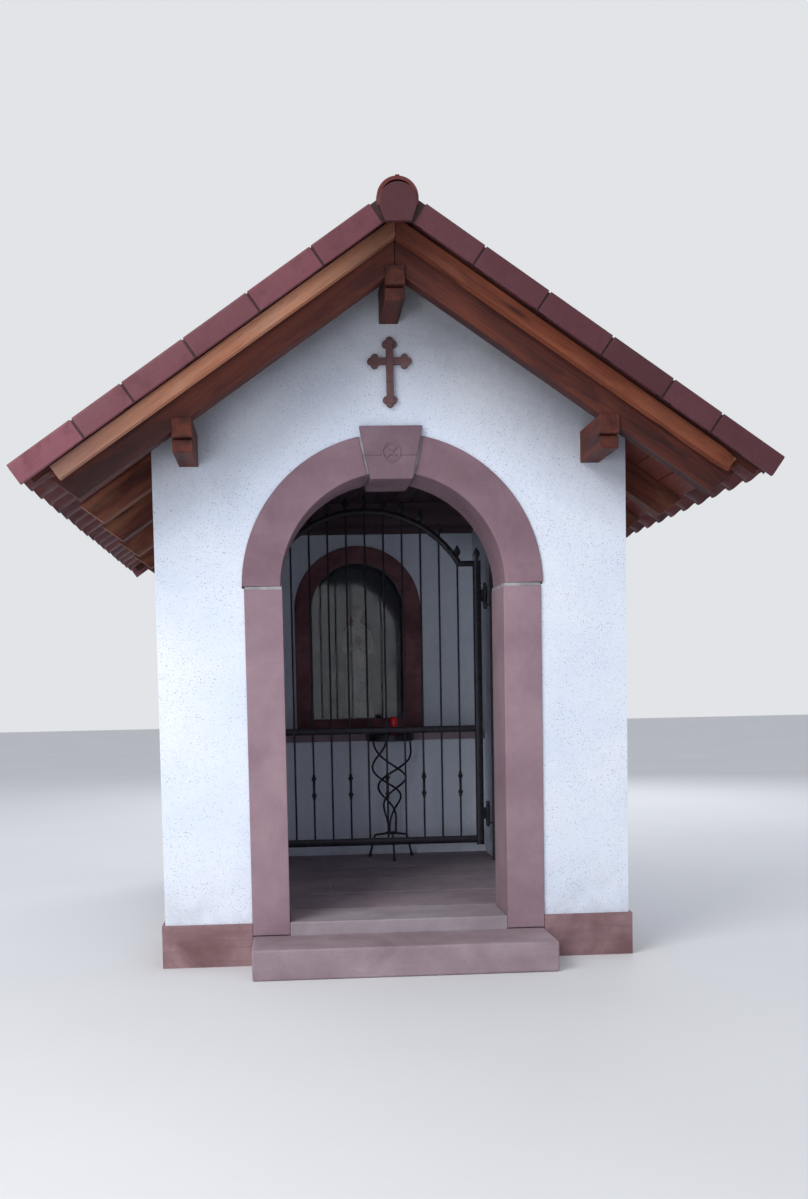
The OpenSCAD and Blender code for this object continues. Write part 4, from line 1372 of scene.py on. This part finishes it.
@dataclass
class Ridge(Assembly):
    """Half-round ridge caps that overlap, with a collar each, and a plate that closes each end."""

    axis: float = 3.333
    radius: float = 0.083
    collar: float = 0.088
    thick: float = 0.014
    front: float = -1.958
    back: float = 1.850
    caps: int = 10
    collar_long: float = 0.045
    leg: float = 0.034
    clip_half: float = 0.009
    plate_thick: float = 0.022
    plate_radius: float = 0.080
    plate_foot: float = 3.226
    plate_half: float = 0.056
    bedding: tuple[tuple[float, float], ...] = ((0.060, 3.262), (0.074, 3.262), (0.074, 3.318), (0.060, 3.330))
    bedding_inset: float = 0.006
    plug_from: float = 0.012
    plug_to: float = 0.040

    def build(self) -> None:
        """Builds the caps, their clips, the clay that beds and plugs them, and the two plates."""
        chance = np.random.default_rng(41)
        edges = np.linspace(self.front, self.back, self.caps + 1)
        caps = [self.cap(low, high, float(chance.uniform(0.0, 0.6))) for low, high in zip(edges, edges[1:])]
        SHRINE.piece("ridge_caps", caps, self.palette.tile, ("ridge_tiles",), crease=40)
        crown = self.axis + self.collar
        clips = [slab((-self.clip_half, low + 0.003, crown - 0.002),
                      (self.clip_half, low + 0.030, crown + 0.0038)) for low in edges[:-1]]
        SHRINE.piece("ridge_clips", clips, self.palette.tile, (), 0.002)
        bed = prism(list(self.bedding), self.front + self.bedding_inset, self.back - self.bedding_inset)
        plug = arc((0.0, self.axis), self.collar - self.thick - self.bedding_inset, 0, 180, 25)
        plugs = [prism(plug, self.front + self.plug_from, self.front + self.plug_to),
                 prism(plug, self.back - self.plug_to, self.back - self.plug_from)]
        # The bedding and plugs take the dark clay as painted shade under and inside the caps
        SHRINE.piece("ridge_bedding", both([bed]) + plugs, self.palette.lap)
        plate = self.plate_outline()
        plates = [prism(plate, self.front - self.plate_thick, self.front).tinted(0.0),
                  prism(plate, self.back, self.back + self.plate_thick).tinted(0.3)]
        SHRINE.piece("ridge_plates", plates, self.palette.verge_tile, ("ridge_end_plates",),
                     0.003, 3)

    def cap(self, low: float, high: float, tint: float) -> Shell:
        """Carries a horseshoe section along the ridge: its radius steps up at the collar.

        Args:
            low: its front end, which bears the collar.
            high: its back end.
            tint: its shade.

        Returns:
            The cap.
        """
        along = np.array([low, low + 0.006, low + self.collar_long - 0.004, low + self.collar_long,
                          (low + high) / 2, high])[:, None]
        radius = np.array([self.collar - 0.004, self.collar, self.collar, self.radius, self.radius,
                           self.radius - 0.002])[:, None]
        turn = np.radians(np.linspace(0, 180, 25))
        across = np.concatenate([[1.0], np.cos(turn), [-1.0]])
        foot = np.full_like(radius, -self.leg)
        outer, inner = (np.stack([r * across, np.concatenate([foot, r * np.sin(turn), foot], 1)], -1)
                        for r in (radius, radius - self.thick))
        section = np.concatenate([outer, inner[:, ::-1]], 1)
        return shell(np.stack([section[..., 0], np.broadcast_to(along, section.shape[:2]),
                               self.axis + section[..., 1]], -1), tint=tint)

    def plate_outline(self) -> np.ndarray:
        """Draws the horseshoe plate: a round head whose sides run straight to a narrower foot.

        Returns:
            The outline, across and up.
        """
        head = arc((0.0, self.plate_foot + self.plate_radius), self.plate_radius, -8, 188, 41)
        right, left = [(self.plate_half, self.plate_foot)], [(-self.plate_half, self.plate_foot)]
        return np.concatenate([right, head, left])


@dataclass
class Room(Assembly):
    """Boarded ceiling, beam on the back wall and altar slab."""

    half: float = 0.805
    front: float = -1.150
    back: float = 1.150
    ceiling: float = 2.575
    ceiling_thick: float = 0.020
    flat_half: float = 0.751
    plank: float = 0.125
    plank_gap: float = 0.001
    beam_foot: float = 2.365
    beam_front: float = 1.090
    slab_front: float = 0.740
    slab_low: float = 0.958
    slab_high: float = 1.010

    def build(self) -> None:
        """Builds everything that spans the room."""
        chance = np.random.default_rng(53)
        top, flat, half = self.ceiling + self.ceiling_thick, self.flat_half, self.half
        drop = (half - flat) * math.tan(SLOPE.pitch)
        edges = np.linspace(-flat, flat, round(2 * flat / self.plank) + 1)
        planks = [slab((low + self.plank_gap, self.front, self.ceiling),
                       (high - self.plank_gap, self.back, top)).fibred(Fibre.ALONG_Y, chance)
                  for low, high in zip(edges, edges[1:])]
        edge = prism([(flat, self.ceiling), (half, self.ceiling - drop), (half, top - drop), (flat, top)],
                     self.front, self.back).fibred(Fibre.ALONG_Y, chance)
        SHRINE.piece("ceiling_planks", planks + both([edge]), self.palette.ceiling_timber,
                     ("ceiling_boards",), 0.003, 2)
        low = self.ceiling - drop
        beam = prism([(-half, self.beam_foot), (half, self.beam_foot), (half, low), (flat, self.ceiling),
                      (-flat, self.ceiling), (-half, low)], self.beam_front, self.back)
        SHRINE.piece("back_wall_beam", [beam.fibred(Fibre.ALONG_X, chance)], self.palette.ceiling_timber,
                     ("back_beam",), 0.004)
        top_slab = slab((-half, self.slab_front, self.slab_low), (half, self.back, self.slab_high))
        SHRINE.piece("altar_top_slab", [top_slab], self.palette.paving, ("altar_slab",),
                     0.006, 3)


@dataclass
class Niche(Assembly):
    """Glazed niche in the back wall: its sandstone frame, its lining in a dark render that is painted shade,
    and its pane.
    """

    half: float = 0.318
    sill: float = 1.099
    spring: float = 1.853
    wall: float = 1.150
    frame_wide: float = 0.118
    frame_foot: float = 1.031
    frame_face: float = 1.132
    pane_back: float = 1.156
    recess_back: float = 1.3595
    lining: float = 0.004

    def build(self) -> None:
        """Builds the frame and the lining, and dresses the pane.

        Every station has a point on the opening and one on the outside, and the frame's section lies
        between them: a flat face with a chamfer towards the opening. The lining is the opening's
        outline, drawn in towards the niche's middle, with a back.
        """
        outer = self.half + self.frame_wide
        opening = self.arched(self.half, self.sill)
        share = np.array([0.0, 0.0, 0.12, 0.94, 1.0, 1.0])[None, :, None]
        depth = self.wall - (self.wall - self.frame_face) * np.array([0.0, 0.35, 1.0, 1.0, 0.7, 0.0])
        outside = self.arched(outer, self.frame_foot)
        stone = self.carried(opening[:, None] * (1 - share) + outside[:, None] * share, depth)
        SHRINE.piece("niche_frame_stone", [stone], self.palette.niche, ("niche_frame",), 0.002)
        middle = np.array([0.0, (self.sill + self.spring) / 2])
        edge, inner = (middle + (opening - middle) * share for share in (0.9985, 1 - self.lining / self.half))
        near, far = self.pane_back + 0.001, self.recess_back - 0.0005
        lining = self.carried(np.stack([edge, inner, inner, edge], 1), np.array([near, near, far, far]))
        # The lining's dark render is painted shade for the deep recess
        SHRINE.piece("niche_shade_lining", [lining, prism(edge, far - self.lining, far)], self.palette.niche_shade_render)
        SHRINE.dress("niche_glass", self.palette.glass)

    def arched(self, half: float, foot: float) -> np.ndarray:
        """Returns an outline that goes up one side from its foot, round the arch and down again."""
        return np.concatenate([[(half, foot)], arc((0, self.spring), half, 0, 180, 41), [(-half, foot)]])

    @staticmethod
    def carried(plan: np.ndarray, depth: np.ndarray) -> Shell:
        """Returns a looped surface with these places across and up by station, each at its depth."""
        return shell(np.stack([plan[..., 0], np.broadcast_to(depth, plan.shape[:2]), plan[..., 1]], -1), True)


@dataclass
class Figure(Assembly):
    """Calm robed figure with a veil and joined hands, in common sculptor's proportions.

    Robe and veil are stacks of level rings. The rows of their tables are the heights, and there the
    half widths and the depths to the front and to the back, all as shares of the figure's height.
    """

    y: float = 1.261
    foot: float = Niche.sill
    high: float = 0.780
    robe: tuple[tuple[float, ...], ...] = (
        (0, 0.02, 0.12, 0.30, 0.48, 0.62, 0.70, 0.77, 0.815, 0.845, 0.86, 0.89),
        (0.132, 0.134, 0.120, 0.106, 0.098, 0.098, 0.108, 0.116, 0.100, 0.056, 0.032, 0.028),
        (0.108, 0.110, 0.100, 0.088, 0.078, 0.074, 0.078, 0.072, 0.060, 0.042, 0.030, 0.028),
        (0.100, 0.102, 0.092, 0.080, 0.072, 0.070, 0.072, 0.066, 0.056, 0.042, 0.032, 0.030))
    veil: tuple[tuple[float, ...], ...] = (
        (0.60, 0.66, 0.74, 0.80, 0.84, 0.87, 0.91, 0.95, 0.98, 0.997),
        (0.118, 0.126, 0.130, 0.114, 0.080, 0.064, 0.061, 0.056, 0.042, 0.008),
        (0.040, 0.042, 0.036, 0.026, 0.012, 0.006, 0.008, 0.020, 0.026, 0.006),
        (0.088, 0.092, 0.090, 0.082, 0.070, 0.066, 0.068, 0.064, 0.048, 0.008))
    robe_tint: float = 0.1
    veil_tint: float = 0.55
    skin_tint: float = 1.0

    def build(self) -> None:
        """Builds the figure as one piece."""
        hand = [(TIP, 0.0), (0.011, 0.004), (0.013, 0.018), (0.012, 0.034), (0.008, 0.052), (0.004, 0.062),
                (TIP, 0.064)]
        hands = [lathe(hand, (side * 0.008, self.y - 0.098, self.foot + 0.655 * self.high), 10)
                 .tinted(self.skin_tint) for side in (1, -1)]
        parts = [self.rings(self.robe, 0.075, self.robe_tint), self.rings(self.veil, 0.04, self.veil_tint),
                 self.head(), *(self.sleeve(side) for side in (1, -1)), *hands]
        SHRINE.piece("niche_robed_figure", parts, self.palette.figure, ("niche_figure",), crease=75)

    def set_down(self, points: np.ndarray) -> np.ndarray:
        """Returns points in shares of the height as places in the niche."""
        return points * self.high + np.array([0.0, self.y, self.foot])

    def rings(self, table: tuple[tuple[float, ...], ...], fold: float, tint: float) -> Shell:
        """Stacks level rings, with folds as a wave round each ring that fades upwards.

        Args:
            table: the profile's heights, half widths, and depths to the front and the back.
            fold: strength of the folds.
            tint: shade that tells the finish what it is.

        Returns:
            The stack.
        """
        rise = table[0]
        level = np.linspace(rise[0], rise[-1], 56)[:, None]
        turn = np.linspace(0, 2 * np.pi, 60, endpoint=False)
        half, near, far = (np.interp(level, rise, row) for row in table[1:])
        fade = np.clip(1.05 - level, 0, 1)
        wave = 1 + fold * fade * (0.7 * np.cos(13 * turn + 2 * level) + 0.3 * np.cos(7 * turn - 5 * level))
        deep = np.where(np.sin(turn) < 0, near, far)
        points = np.stack([half * wave * np.cos(turn), deep * wave * np.sin(turn),
                           np.broadcast_to(level, wave.shape)], -1)
        return shell(self.set_down(points), tint=tint)

    def head(self) -> Shell:
        """Makes the head: an egg with a soft nose, brow, chin and closed eyes as swellings.

        The radius at each turn and level is the egg's, times one plus bell curves for the features. A
        bell is the exponential of minus the squared distance from its place, across and up.

        Returns:
            The head.
        """
        level = np.radians(np.linspace(-87, 87, 40))[:, None]
        turn = np.linspace(0, 2 * np.pi, 60, endpoint=False)[None]
        swell = np.ones_like(level * turn)
        for strong, across, wide, up, high in (
                (0.13, 0, 0.13, -0.10, 0.20), (-0.05, 0.40, 0.20, 0.10, 0.12), (0.03, 0.40, 0.16, 0.02, 0.08),
                (0.04, 0, 0.2, -0.48, 0.07), (0.05, 0, 0.3, -0.80, 0.16), (-0.03, 0, 0.2, -0.60, 0.06)):
            aside = (np.abs(turn - 1.5 * np.pi) - across) / wide
            swell += strong * np.exp(-(aside ** 2 + ((level - up) / high) ** 2))
        half = self.high / 7.4 / 2
        wide = half * 0.74 * np.cos(level) * (1 + 0.10 * np.sin(level)) * swell
        points = np.stack([wide * np.cos(turn), 1.14 * wide * np.sin(turn),
                           np.broadcast_to(half * np.sin(level), wide.shape)], -1)
        middle = (0.0, self.y - 0.020, self.foot + self.high - half * 1.10)
        return shell(points + np.array(middle), tint=self.skin_tint)

    def sleeve(self, side: int) -> Shell:
        """Sweeps a wide sleeve from the shoulder round the elbow to the joined hands.

        Args:
            side: 1 or -1.

        Returns:
            The sleeve.
        """
        share, stops = np.linspace(0, 1, 24), [0, 0.3, 0.5, 0.75, 1]
        across, out, rise, wide = (np.interp(share, stops, row) for row in (
            [0.104, 0.118, 0.108, 0.062, 0.016], [0.0, -0.020, -0.058, -0.094, -0.112],
            [0.785, 0.67, 0.600, 0.618, 0.660], [0.020, 0.030, 0.036, 0.036, 0.026]))
        path = np.stack([side * across, out, rise], -1)
        soft = path.copy()
        soft[1:-1] = (path[:-2] + 2 * path[1:-1] + path[2:]) / 4
        return tube(self.set_down(soft), wide * self.high, 14).tinted(self.robe_tint)


@dataclass
class IronGate(Assembly):
    """Wrought-iron gate: stiles, rails, an arched top, eleven bars with knots, and leaf-shaped spears.

    The tables of knot and spear are drawn upwards: of a knot its heights and radii in bar radii, of a
    spear its heights and its half widths and thicknesses, as shares of its whole size.
    """

    y: float = 0.350
    half: float = 0.722
    stile: float = 0.045
    stile_thick: float = 0.040
    stile_foot: float = 0.304
    stile_top: float = 2.085
    rail_thick: float = 0.030
    low_rail: tuple[float, float] = (0.316, 0.360)
    mid_rail: tuple[float, float] = (1.018, 1.058)
    top_axis: float = 1.710
    top_radius: float = 0.690
    top_high: float = 0.034
    shoulder: float = 2.068
    spacing: float = 0.1156
    per_side: int = 5
    seat: float = 0.004
    foot_seat: float = 0.006
    bar_radius: float = 0.006
    knots: tuple[float, float] = (0.639, 0.742)
    knot_high: tuple[float, ...] = (-0.036, -0.026, -0.021, -0.017, -0.012, -0.006, 0.0, 0.006, 0.012, 0.015,
                                    0.018)
    knot_wide: tuple[float, ...] = (1.0, 1.2, 1.8, 1.7, 1.5, 2.4, 2.7, 2.4, 1.6, 1.7, 1.4)
    spear_size: tuple[float, float, float] = (0.044, 0.008, 0.086)
    spear_high: tuple[float, ...] = (0, 0.06, 0.10, 0.14, 0.2, 0.3, 0.4, 0.48, 0.6, 0.72, 0.86, 0.96, 1.0)
    spear_wide: tuple[float, ...] = (0.17, 0.17, 0.26, 0.2, 0.2, 0.36, 0.47, 0.5, 0.45, 0.34, 0.17, 0.06, 0.01)
    spear_deep: tuple[float, ...] = (0.5, 0.5, 0.5, 0.5, 0.42, 0.46, 0.5, 0.5, 0.46, 0.4, 0.3, 0.16, 0.04)
    blow: float = 0.012
    bite: float = 0.0045

    def build(self) -> None:
        """Builds the gate on its own body, and dresses the hinges and the post."""
        iron, inner = self.palette.iron, self.half - self.stile
        upright = self.stations(self.stile_foot, self.stile_top)
        along = self.stations(-inner - self.seat, inner + self.seat)
        stile = self.hammered(upright, inner, self.half, self.stile_thick, 2)
        rails = [self.hammered(along, low, high, self.rail_thick, 0)
                 for low, high in (self.low_rail, self.mid_rail, self.top_edges(along))]
        GATE.piece("gate_stiles_and_rails", both([stile]) + rails, iron, ("gate_frame",),
                   crease=60)
        places = [i * self.spacing for i in range(-self.per_side, self.per_side + 1)]
        bars = [self.bar(x, (i - self.per_side) % 2 == 1) for i, x in enumerate(places)]
        GATE.piece("gate_round_bars", bars, iron, ("gate_bars",), crease=50)
        edge = self.half - self.stile / 2
        feet = [(x, self.rail_line(x) + self.top_high / 2 - self.seat) for x in places]
        spears = [self.spear(x, z) for x, z in [*feet, (edge, self.stile_top), (-edge, self.stile_top)]]
        GATE.piece("gate_leaf_spears", spears, iron, ("gate_spears",), crease=50)
        GATE.dress("gate_knuckles", iron)
        SHRINE.dress("gate_post", self.palette.post)

    def rail_line(self, x: float) -> float:
        """Returns the height of the top rail's middle line at x: its arc, but never below the shoulders."""
        return max(self.shoulder, self.top_axis + math.sqrt(max(0.0, self.top_radius**2 - x**2)))

    def top_edges(self, along: np.ndarray) -> list[np.ndarray]:
        """Draws the two edges of the top rail: each follows an arc, but never lies below its shoulder.

        Args:
            along: places of the rings.

        Returns:
            The heights of the lower and of the upper edge.
        """
        ways = (-self.top_high / 2, self.top_high / 2)
        arcs = [np.sqrt(np.clip((self.top_radius + way)**2 - along**2, 0, None)) for way in ways]
        return [np.maximum(self.shoulder + way, self.top_axis + rise) for way, rise in zip(ways, arcs)]

    def stations(self, start: float, end: float) -> np.ndarray:
        """Returns the places of a hammered bar's rings, four to a blow of the hammer."""
        return np.linspace(start, end, 4 * round((end - start) / self.blow) + 1)

    def hammered(self, along: np.ndarray, low: np.ndarray | float, high: np.ndarray | float, thick: float,
                 axis: int) -> Shell:
        """Makes a bar whose long edges are hammered.

        The chamfer of the edges swings between a third of the bite and the full bite, as half of one
        minus the cosine of the way along, once for every blow.

        Args:
            along: places of the rings on the bar's axis.
            low: its lower or left edge, one for all rings or one for each.
            high: its upper or right edge in the same way.
            thick: its thickness.
            axis: 0 for a rail, 2 for a stile.

        Returns:
            The bar.
        """
        along, low, high = (np.reshape(values, (-1, 1)) for values in (along, low, high))
        cut = self.bite * (0.33 + 0.67 * (0.5 - 0.5 * np.cos(2 * np.pi * (along - along[0]) / self.blow)))
        inset = np.array([1, 0, 0, 1])
        deep = np.array([-1, -1, 1, 1]) * (thick / 2 - cut * (1 - inset))
        rings = np.empty((len(along), 8, 3))
        rings[:, :, axis] = along
        rings[:, :, 2 - axis] = np.concatenate([low + cut * inset, high - cut * inset], 1)
        rings[:, :, 1] = self.y + np.concatenate([deep, deep[:, ::-1]], 1)
        return shell(rings)

    def bar(self, x: float, knotted: bool) -> Shell:
        """Turns a round bar, with two knots and their collars if it has them.

        Args:
            x: its middle.
            knotted: True for a bar with knots.

        Returns:
            The bar.
        """
        foot, head = self.low_rail[1] - self.foot_seat, self.rail_line(x) - self.seat
        ends = np.array([(foot, self.bar_radius), (head, self.bar_radius)])
        profile = ends
        if knotted:
            high, wide = np.array(self.knot_high), np.array(self.knot_wide) * self.bar_radius
            low_knot = np.stack([self.knots[0] + high, wide], -1)
            high_knot = np.stack([self.knots[1] - high[::-1], wide[::-1]], -1)
            profile = np.concatenate([ends[:1], low_knot, high_knot, ends[1:]])
        return lathe(profile[:, ::-1], (x, self.y, 0.0), 14)

    def spear(self, x: float, foot: float) -> Shell:
        """Makes a leaf-shaped spear: rings whose width swells and whose section is a flat diamond.

        Args:
            x: its middle.
            foot: its foot.

        Returns:
            The spear.
        """
        corner = np.array([(1, 0), (0.45, 0.62), (0, 1), (-0.45, 0.62), (-1, 0), (-0.45, -0.62), (0, -1),
                           (0.45, -0.62)])
        rows = (self.spear_high, self.spear_wide, self.spear_deep)
        rise, wide, deep = (np.array(row)[:, None] for row in rows)
        shares = np.stack([wide * corner[:, 0], deep * corner[:, 1], np.broadcast_to(rise, (len(rise), 8))], -1)
        return shell(shares * self.spear_size + (x, self.y, foot))


@dataclass
class CandleStand(Assembly):
    """Iron stand: three twisted strands on an arched foot under a shallow tray, and a red votive cup."""

    x: float = 0.155
    y: float = 0.562
    floor: float = 0.201
    hub: float = 0.366
    hub_half: float = 0.007
    low: float = 0.963
    high: float = 1.005
    tray_radius: float = 0.160
    tray_wall: float = 0.004
    rod: float = 0.007
    root: float = 0.028
    reach: float = 0.138
    start: float = 65.0
    turn: float = 375.0
    ways: tuple[float, ...] = (30.0, 150.0, 270.0)
    knee_reach: float = 0.125
    knee_fall: float = 0.024
    foot_reach: float = 0.160
    cup_shift: float = 0.027
    cup_radius: float = 0.026
    cup_top: float = 1.117

    def build(self) -> None:
        """Builds the strands, the legs, the hub plate, the tray and the cup."""
        parts = [made(math.radians(way)) for made in (self.strand, self.leg) for way in self.ways]
        middle = (self.x, self.y, 0.0)
        plate, foot, head = self.root + 2 * self.rod, self.hub - self.hub_half, self.hub + self.hub_half
        parts.append(lathe([(TIP, foot), (plate - 0.004, foot), (plate, self.hub - 0.002),
                            (plate, self.hub + 0.003), (plate - 0.004, head), (TIP, head)], middle))
        r, wall, low, high = self.tray_radius, self.tray_radius - self.tray_wall, self.low, self.high
        tray = [(TIP, low), (wall - 0.008, low), (r - 0.003, low + 0.004), (r - 0.003, high - 0.008),
                (r, high - 0.006), (r, high - 0.001), (r - 0.002, high), (wall, high),
                (wall - 0.002, high - 0.004), (wall - 0.002, low + 0.008), (wall - 0.006, low + 0.004),
                (TIP, low + 0.004)]
        parts.append(lathe(tray, middle, 64))
        SHRINE.piece("candle_stand_ironwork", parts, self.palette.iron, ("candle_stand",),
                     crease=50)
        r, top = self.cup_radius, self.cup_top
        cup = [(TIP, low + 0.004), (r - 0.003, low + 0.004), (r - 0.001, low + 0.008), (r - 0.003, 1.02),
               (r, 1.06), (r, top - 0.022), (r - 0.003, top - 0.018), (r - 0.002, top - 0.012),
               (r - 0.006, top - 0.003), (0.012, top - 0.001), (0.010, top), (TIP, top)]
        SHRINE.piece("votive_cup", [lathe(cup, (self.x + self.cup_shift, self.y, 0.0), 32)], self.palette.wax,
                     ("votive_candle",))

    def around(self, wide: np.ndarray, turn: np.ndarray | float, up: np.ndarray) -> np.ndarray:
        """Returns places at a distance from the stand's axis, in a direction, at a height."""
        return np.stack([self.x + wide * np.cos(turn), self.y + wide * np.sin(turn), up], -1)

    def strand(self, shift: float) -> Shell:
        """Sweeps a strand.

        With s the smooth step of the way up, half of one minus the cosine of half a turn, its distance
        from the axis goes from root to reach with s, and it turns by the full turn as s falls to zero.

        Args:
            shift: turn of this strand beside the first.

        Returns:
            The strand.
        """
        way = np.linspace(0, 1, 60)
        smooth = (1 - np.cos(np.pi * way)) / 2
        turn = np.radians(self.start + self.turn * (1 - smooth)) + shift
        wide = self.root + (self.reach - self.root) * smooth
        up = self.hub + (self.low + 0.002 - self.hub) * way
        return tube(self.around(wide, turn, up), self.rod * 0.95, 10)

    def leg(self, turn: float) -> Shell:
        """Sweeps a leg: nearly level from the hub, bent at the knee, and down to a round foot.

        Args:
            turn: its direction.

        Returns:
            The leg.
        """
        share, stops = np.linspace(0, 1, 24), [0, 0.5, 0.62, 0.97, 1.0]
        out = np.interp(share, stops, [0.0, self.knee_reach * 0.96, self.knee_reach + 0.004,
                                       self.foot_reach - 0.001, self.foot_reach])
        up = np.interp(share, stops, [self.hub, self.hub - 0.8 * self.knee_fall,
                                      self.hub - 1.9 * self.knee_fall, self.floor + 0.012, self.floor + 0.001])
        thick = np.interp(share, [0, 0.9, 0.95, 1.0], self.rod * np.array([1.0, 1.0, 1.5, 1.5]))
        return tube(self.around(out, turn, up), thick, 10)


@dataclass
class Studio:
    """Pale floor, soft lamps, a pale background and the camera at the photograph's place."""

    ground: Tone = (222, 223, 225)
    ground_half: float = 40.0
    ground_top: float = -0.0005
    ground_lines: int = 9
    sky: Tone = (226, 228, 231)
    ambient: Tone = (0.589, 0.6076, 0.6572)
    eye: Place = (-0.522, -6.847, 1.274)
    yaw: float = 0.051
    pitch: float = -0.057
    roll: float = -0.021
    focal: float = 1150.445
    sensor: float = 36.0
    centre: tuple[float, float] = (344.143, 759.233)
    image: tuple[int, int] = (808, 1199)

    def build(self) -> None:
        """Builds the floor, the world, the lamps and the camera."""
        bpy.context.scene.view_settings.view_transform = "Standard"
        self.floor()
        self.world()
        self.lamp("key_lamp", (-4.8, -6.2, 6.4), (0.0, 0.0, 1.2), 4.0, 400, (1.0, 0.985, 0.96))
        self.lamp("fill_lamp", (-2.7, -7.4, 1.2), (0.0, 0.0, 1.4), 2.2, 84, (0.93, 0.96, 1.0))
        self.lamp("back_lamp", (2.5, 7.5, 5.5), (0.0, 0.5, 1.5), 5.0, 260, (0.95, 0.97, 1.0))
        self.camera()

    def floor(self) -> None:
        """Lays the floor: a flat grid that reaches far past the shrine."""
        g, where = Finish("studio_floor").start()
        cloud = g.span(g.noise(where, 0.6, 3), 0.3, 0.7)
        colour = g.blend(cloud, self.ground, tuple(c - 4 for c in self.ground))
        side = np.linspace(-self.ground_half, self.ground_half, self.ground_lines)
        x, y = np.meshgrid(side, side)
        index = np.arange(x.size).reshape(x.shape)
        quads = np.stack([index[:-1, :-1], index[:-1, 1:], index[1:, 1:], index[1:, :-1]], -1).reshape(-1, 4)
        mesh = bpy.data.meshes.new("studio_floor")
        points = np.stack([x, y, np.full_like(x, self.ground_top)], -1).reshape(-1, 3)
        mesh.from_pydata(points, [], quads.tolist())
        mesh.materials.append(g.done(colour, 0.9, g.relief(g.noise(where, 40, 2), 0.0005)))
        made = linked("studio_floor", mesh)

    def world(self) -> None:
        """Lights the scene evenly, and shows the camera, gloss and glass a pale background."""
        world = bpy.data.worlds.new("studio")
        g = Graph(world, "Background")
        path = g.node("LightPath").outputs
        seen = path["Is Camera Ray"]
        for other in ("Is Glossy Ray", "Is Transmission Ray"):
            seen = g.sums("MAXIMUM", seen, path[other])
        values = {0: seen, 6: (*self.ambient, 1.0), 7: linear(self.sky)}
        g.feed(g.shader.inputs[0], g.node("Mix", values, data_type="RGBA").outputs[2])
        g.feed(g.shader.inputs[1], 1.0)
        bpy.context.scene.world = world

    def lamp(self, name: str, place: Place, aim: Place, size: float, power: float, colour: Tone) -> None:
        """Hangs a square soft lamp.

        Args:
            name: its name.
            place: where it hangs.
            aim: the point it faces.
            size: its side.
            power: its power in watts.
            colour: its colour, from 0 to 1.
        """
        data = bpy.data.lights.new(name, "AREA")
        data.shape, data.size, data.energy, data.color = "SQUARE", size, power, colour
        back = np.array(place) - np.array(aim)
        back = back / np.linalg.norm(back)
        side = np.cross((0, 0, 1), back)
        side = side / np.linalg.norm(side)
        turn = Matrix(np.stack([side, np.cross(back, side), back], 1).tolist()).to_4x4()
        linked(name, data).matrix_world = Matrix.Translation(place) @ turn

    def camera(self) -> None:
        """Sets the camera up: yaw, pitch and roll give its axes, and the shift moves its middle."""
        yaw, pitch, roll = self.yaw, self.pitch, self.roll
        ahead = np.array([math.sin(yaw) * math.cos(pitch), math.cos(yaw) * math.cos(pitch), math.sin(pitch)])
        level = np.array([math.cos(yaw), -math.sin(yaw), 0.0])
        above = np.cross(level, ahead)
        right = math.cos(roll) * level + math.sin(roll) * above
        up = -math.sin(roll) * level + math.cos(roll) * above
        data = bpy.data.cameras.new("view")
        long_side = max(self.image)
        data.sensor_fit, data.sensor_width = "AUTO", self.sensor
        data.lens = self.focal / long_side * self.sensor
        data.shift_x = (self.image[0] / 2 - self.centre[0]) / long_side
        data.shift_y = (self.centre[1] - self.image[1] / 2) / long_side
        data.clip_start, data.clip_end = 0.05, 200.0
        made = linked("view", data)
        made.matrix_world = (Matrix.Translation(self.eye)
                             @ Matrix(np.stack([right, up, -ahead], 1).tolist()).to_4x4())
        bpy.context.scene.camera = made


ASSEMBLIES = (Walls, Surround, Entrance, GableCross, RoofTimber, TileRoof, VergeTiles, Ridge, Room, Niche,
              Figure, IronGate, CandleStand)


def main() -> None:
    """Builds every sub-assembly in order."""
    logging.basicConfig(level=logging.INFO, format="%(message)s", stream=sys.stdout)
    palette = Palette()
    for assembly in ASSEMBLIES:
        assembly(palette).build()
        LOG.info("built %s", assembly.__name__)
    Studio().build()


if __name__ == "__main__":
    main()
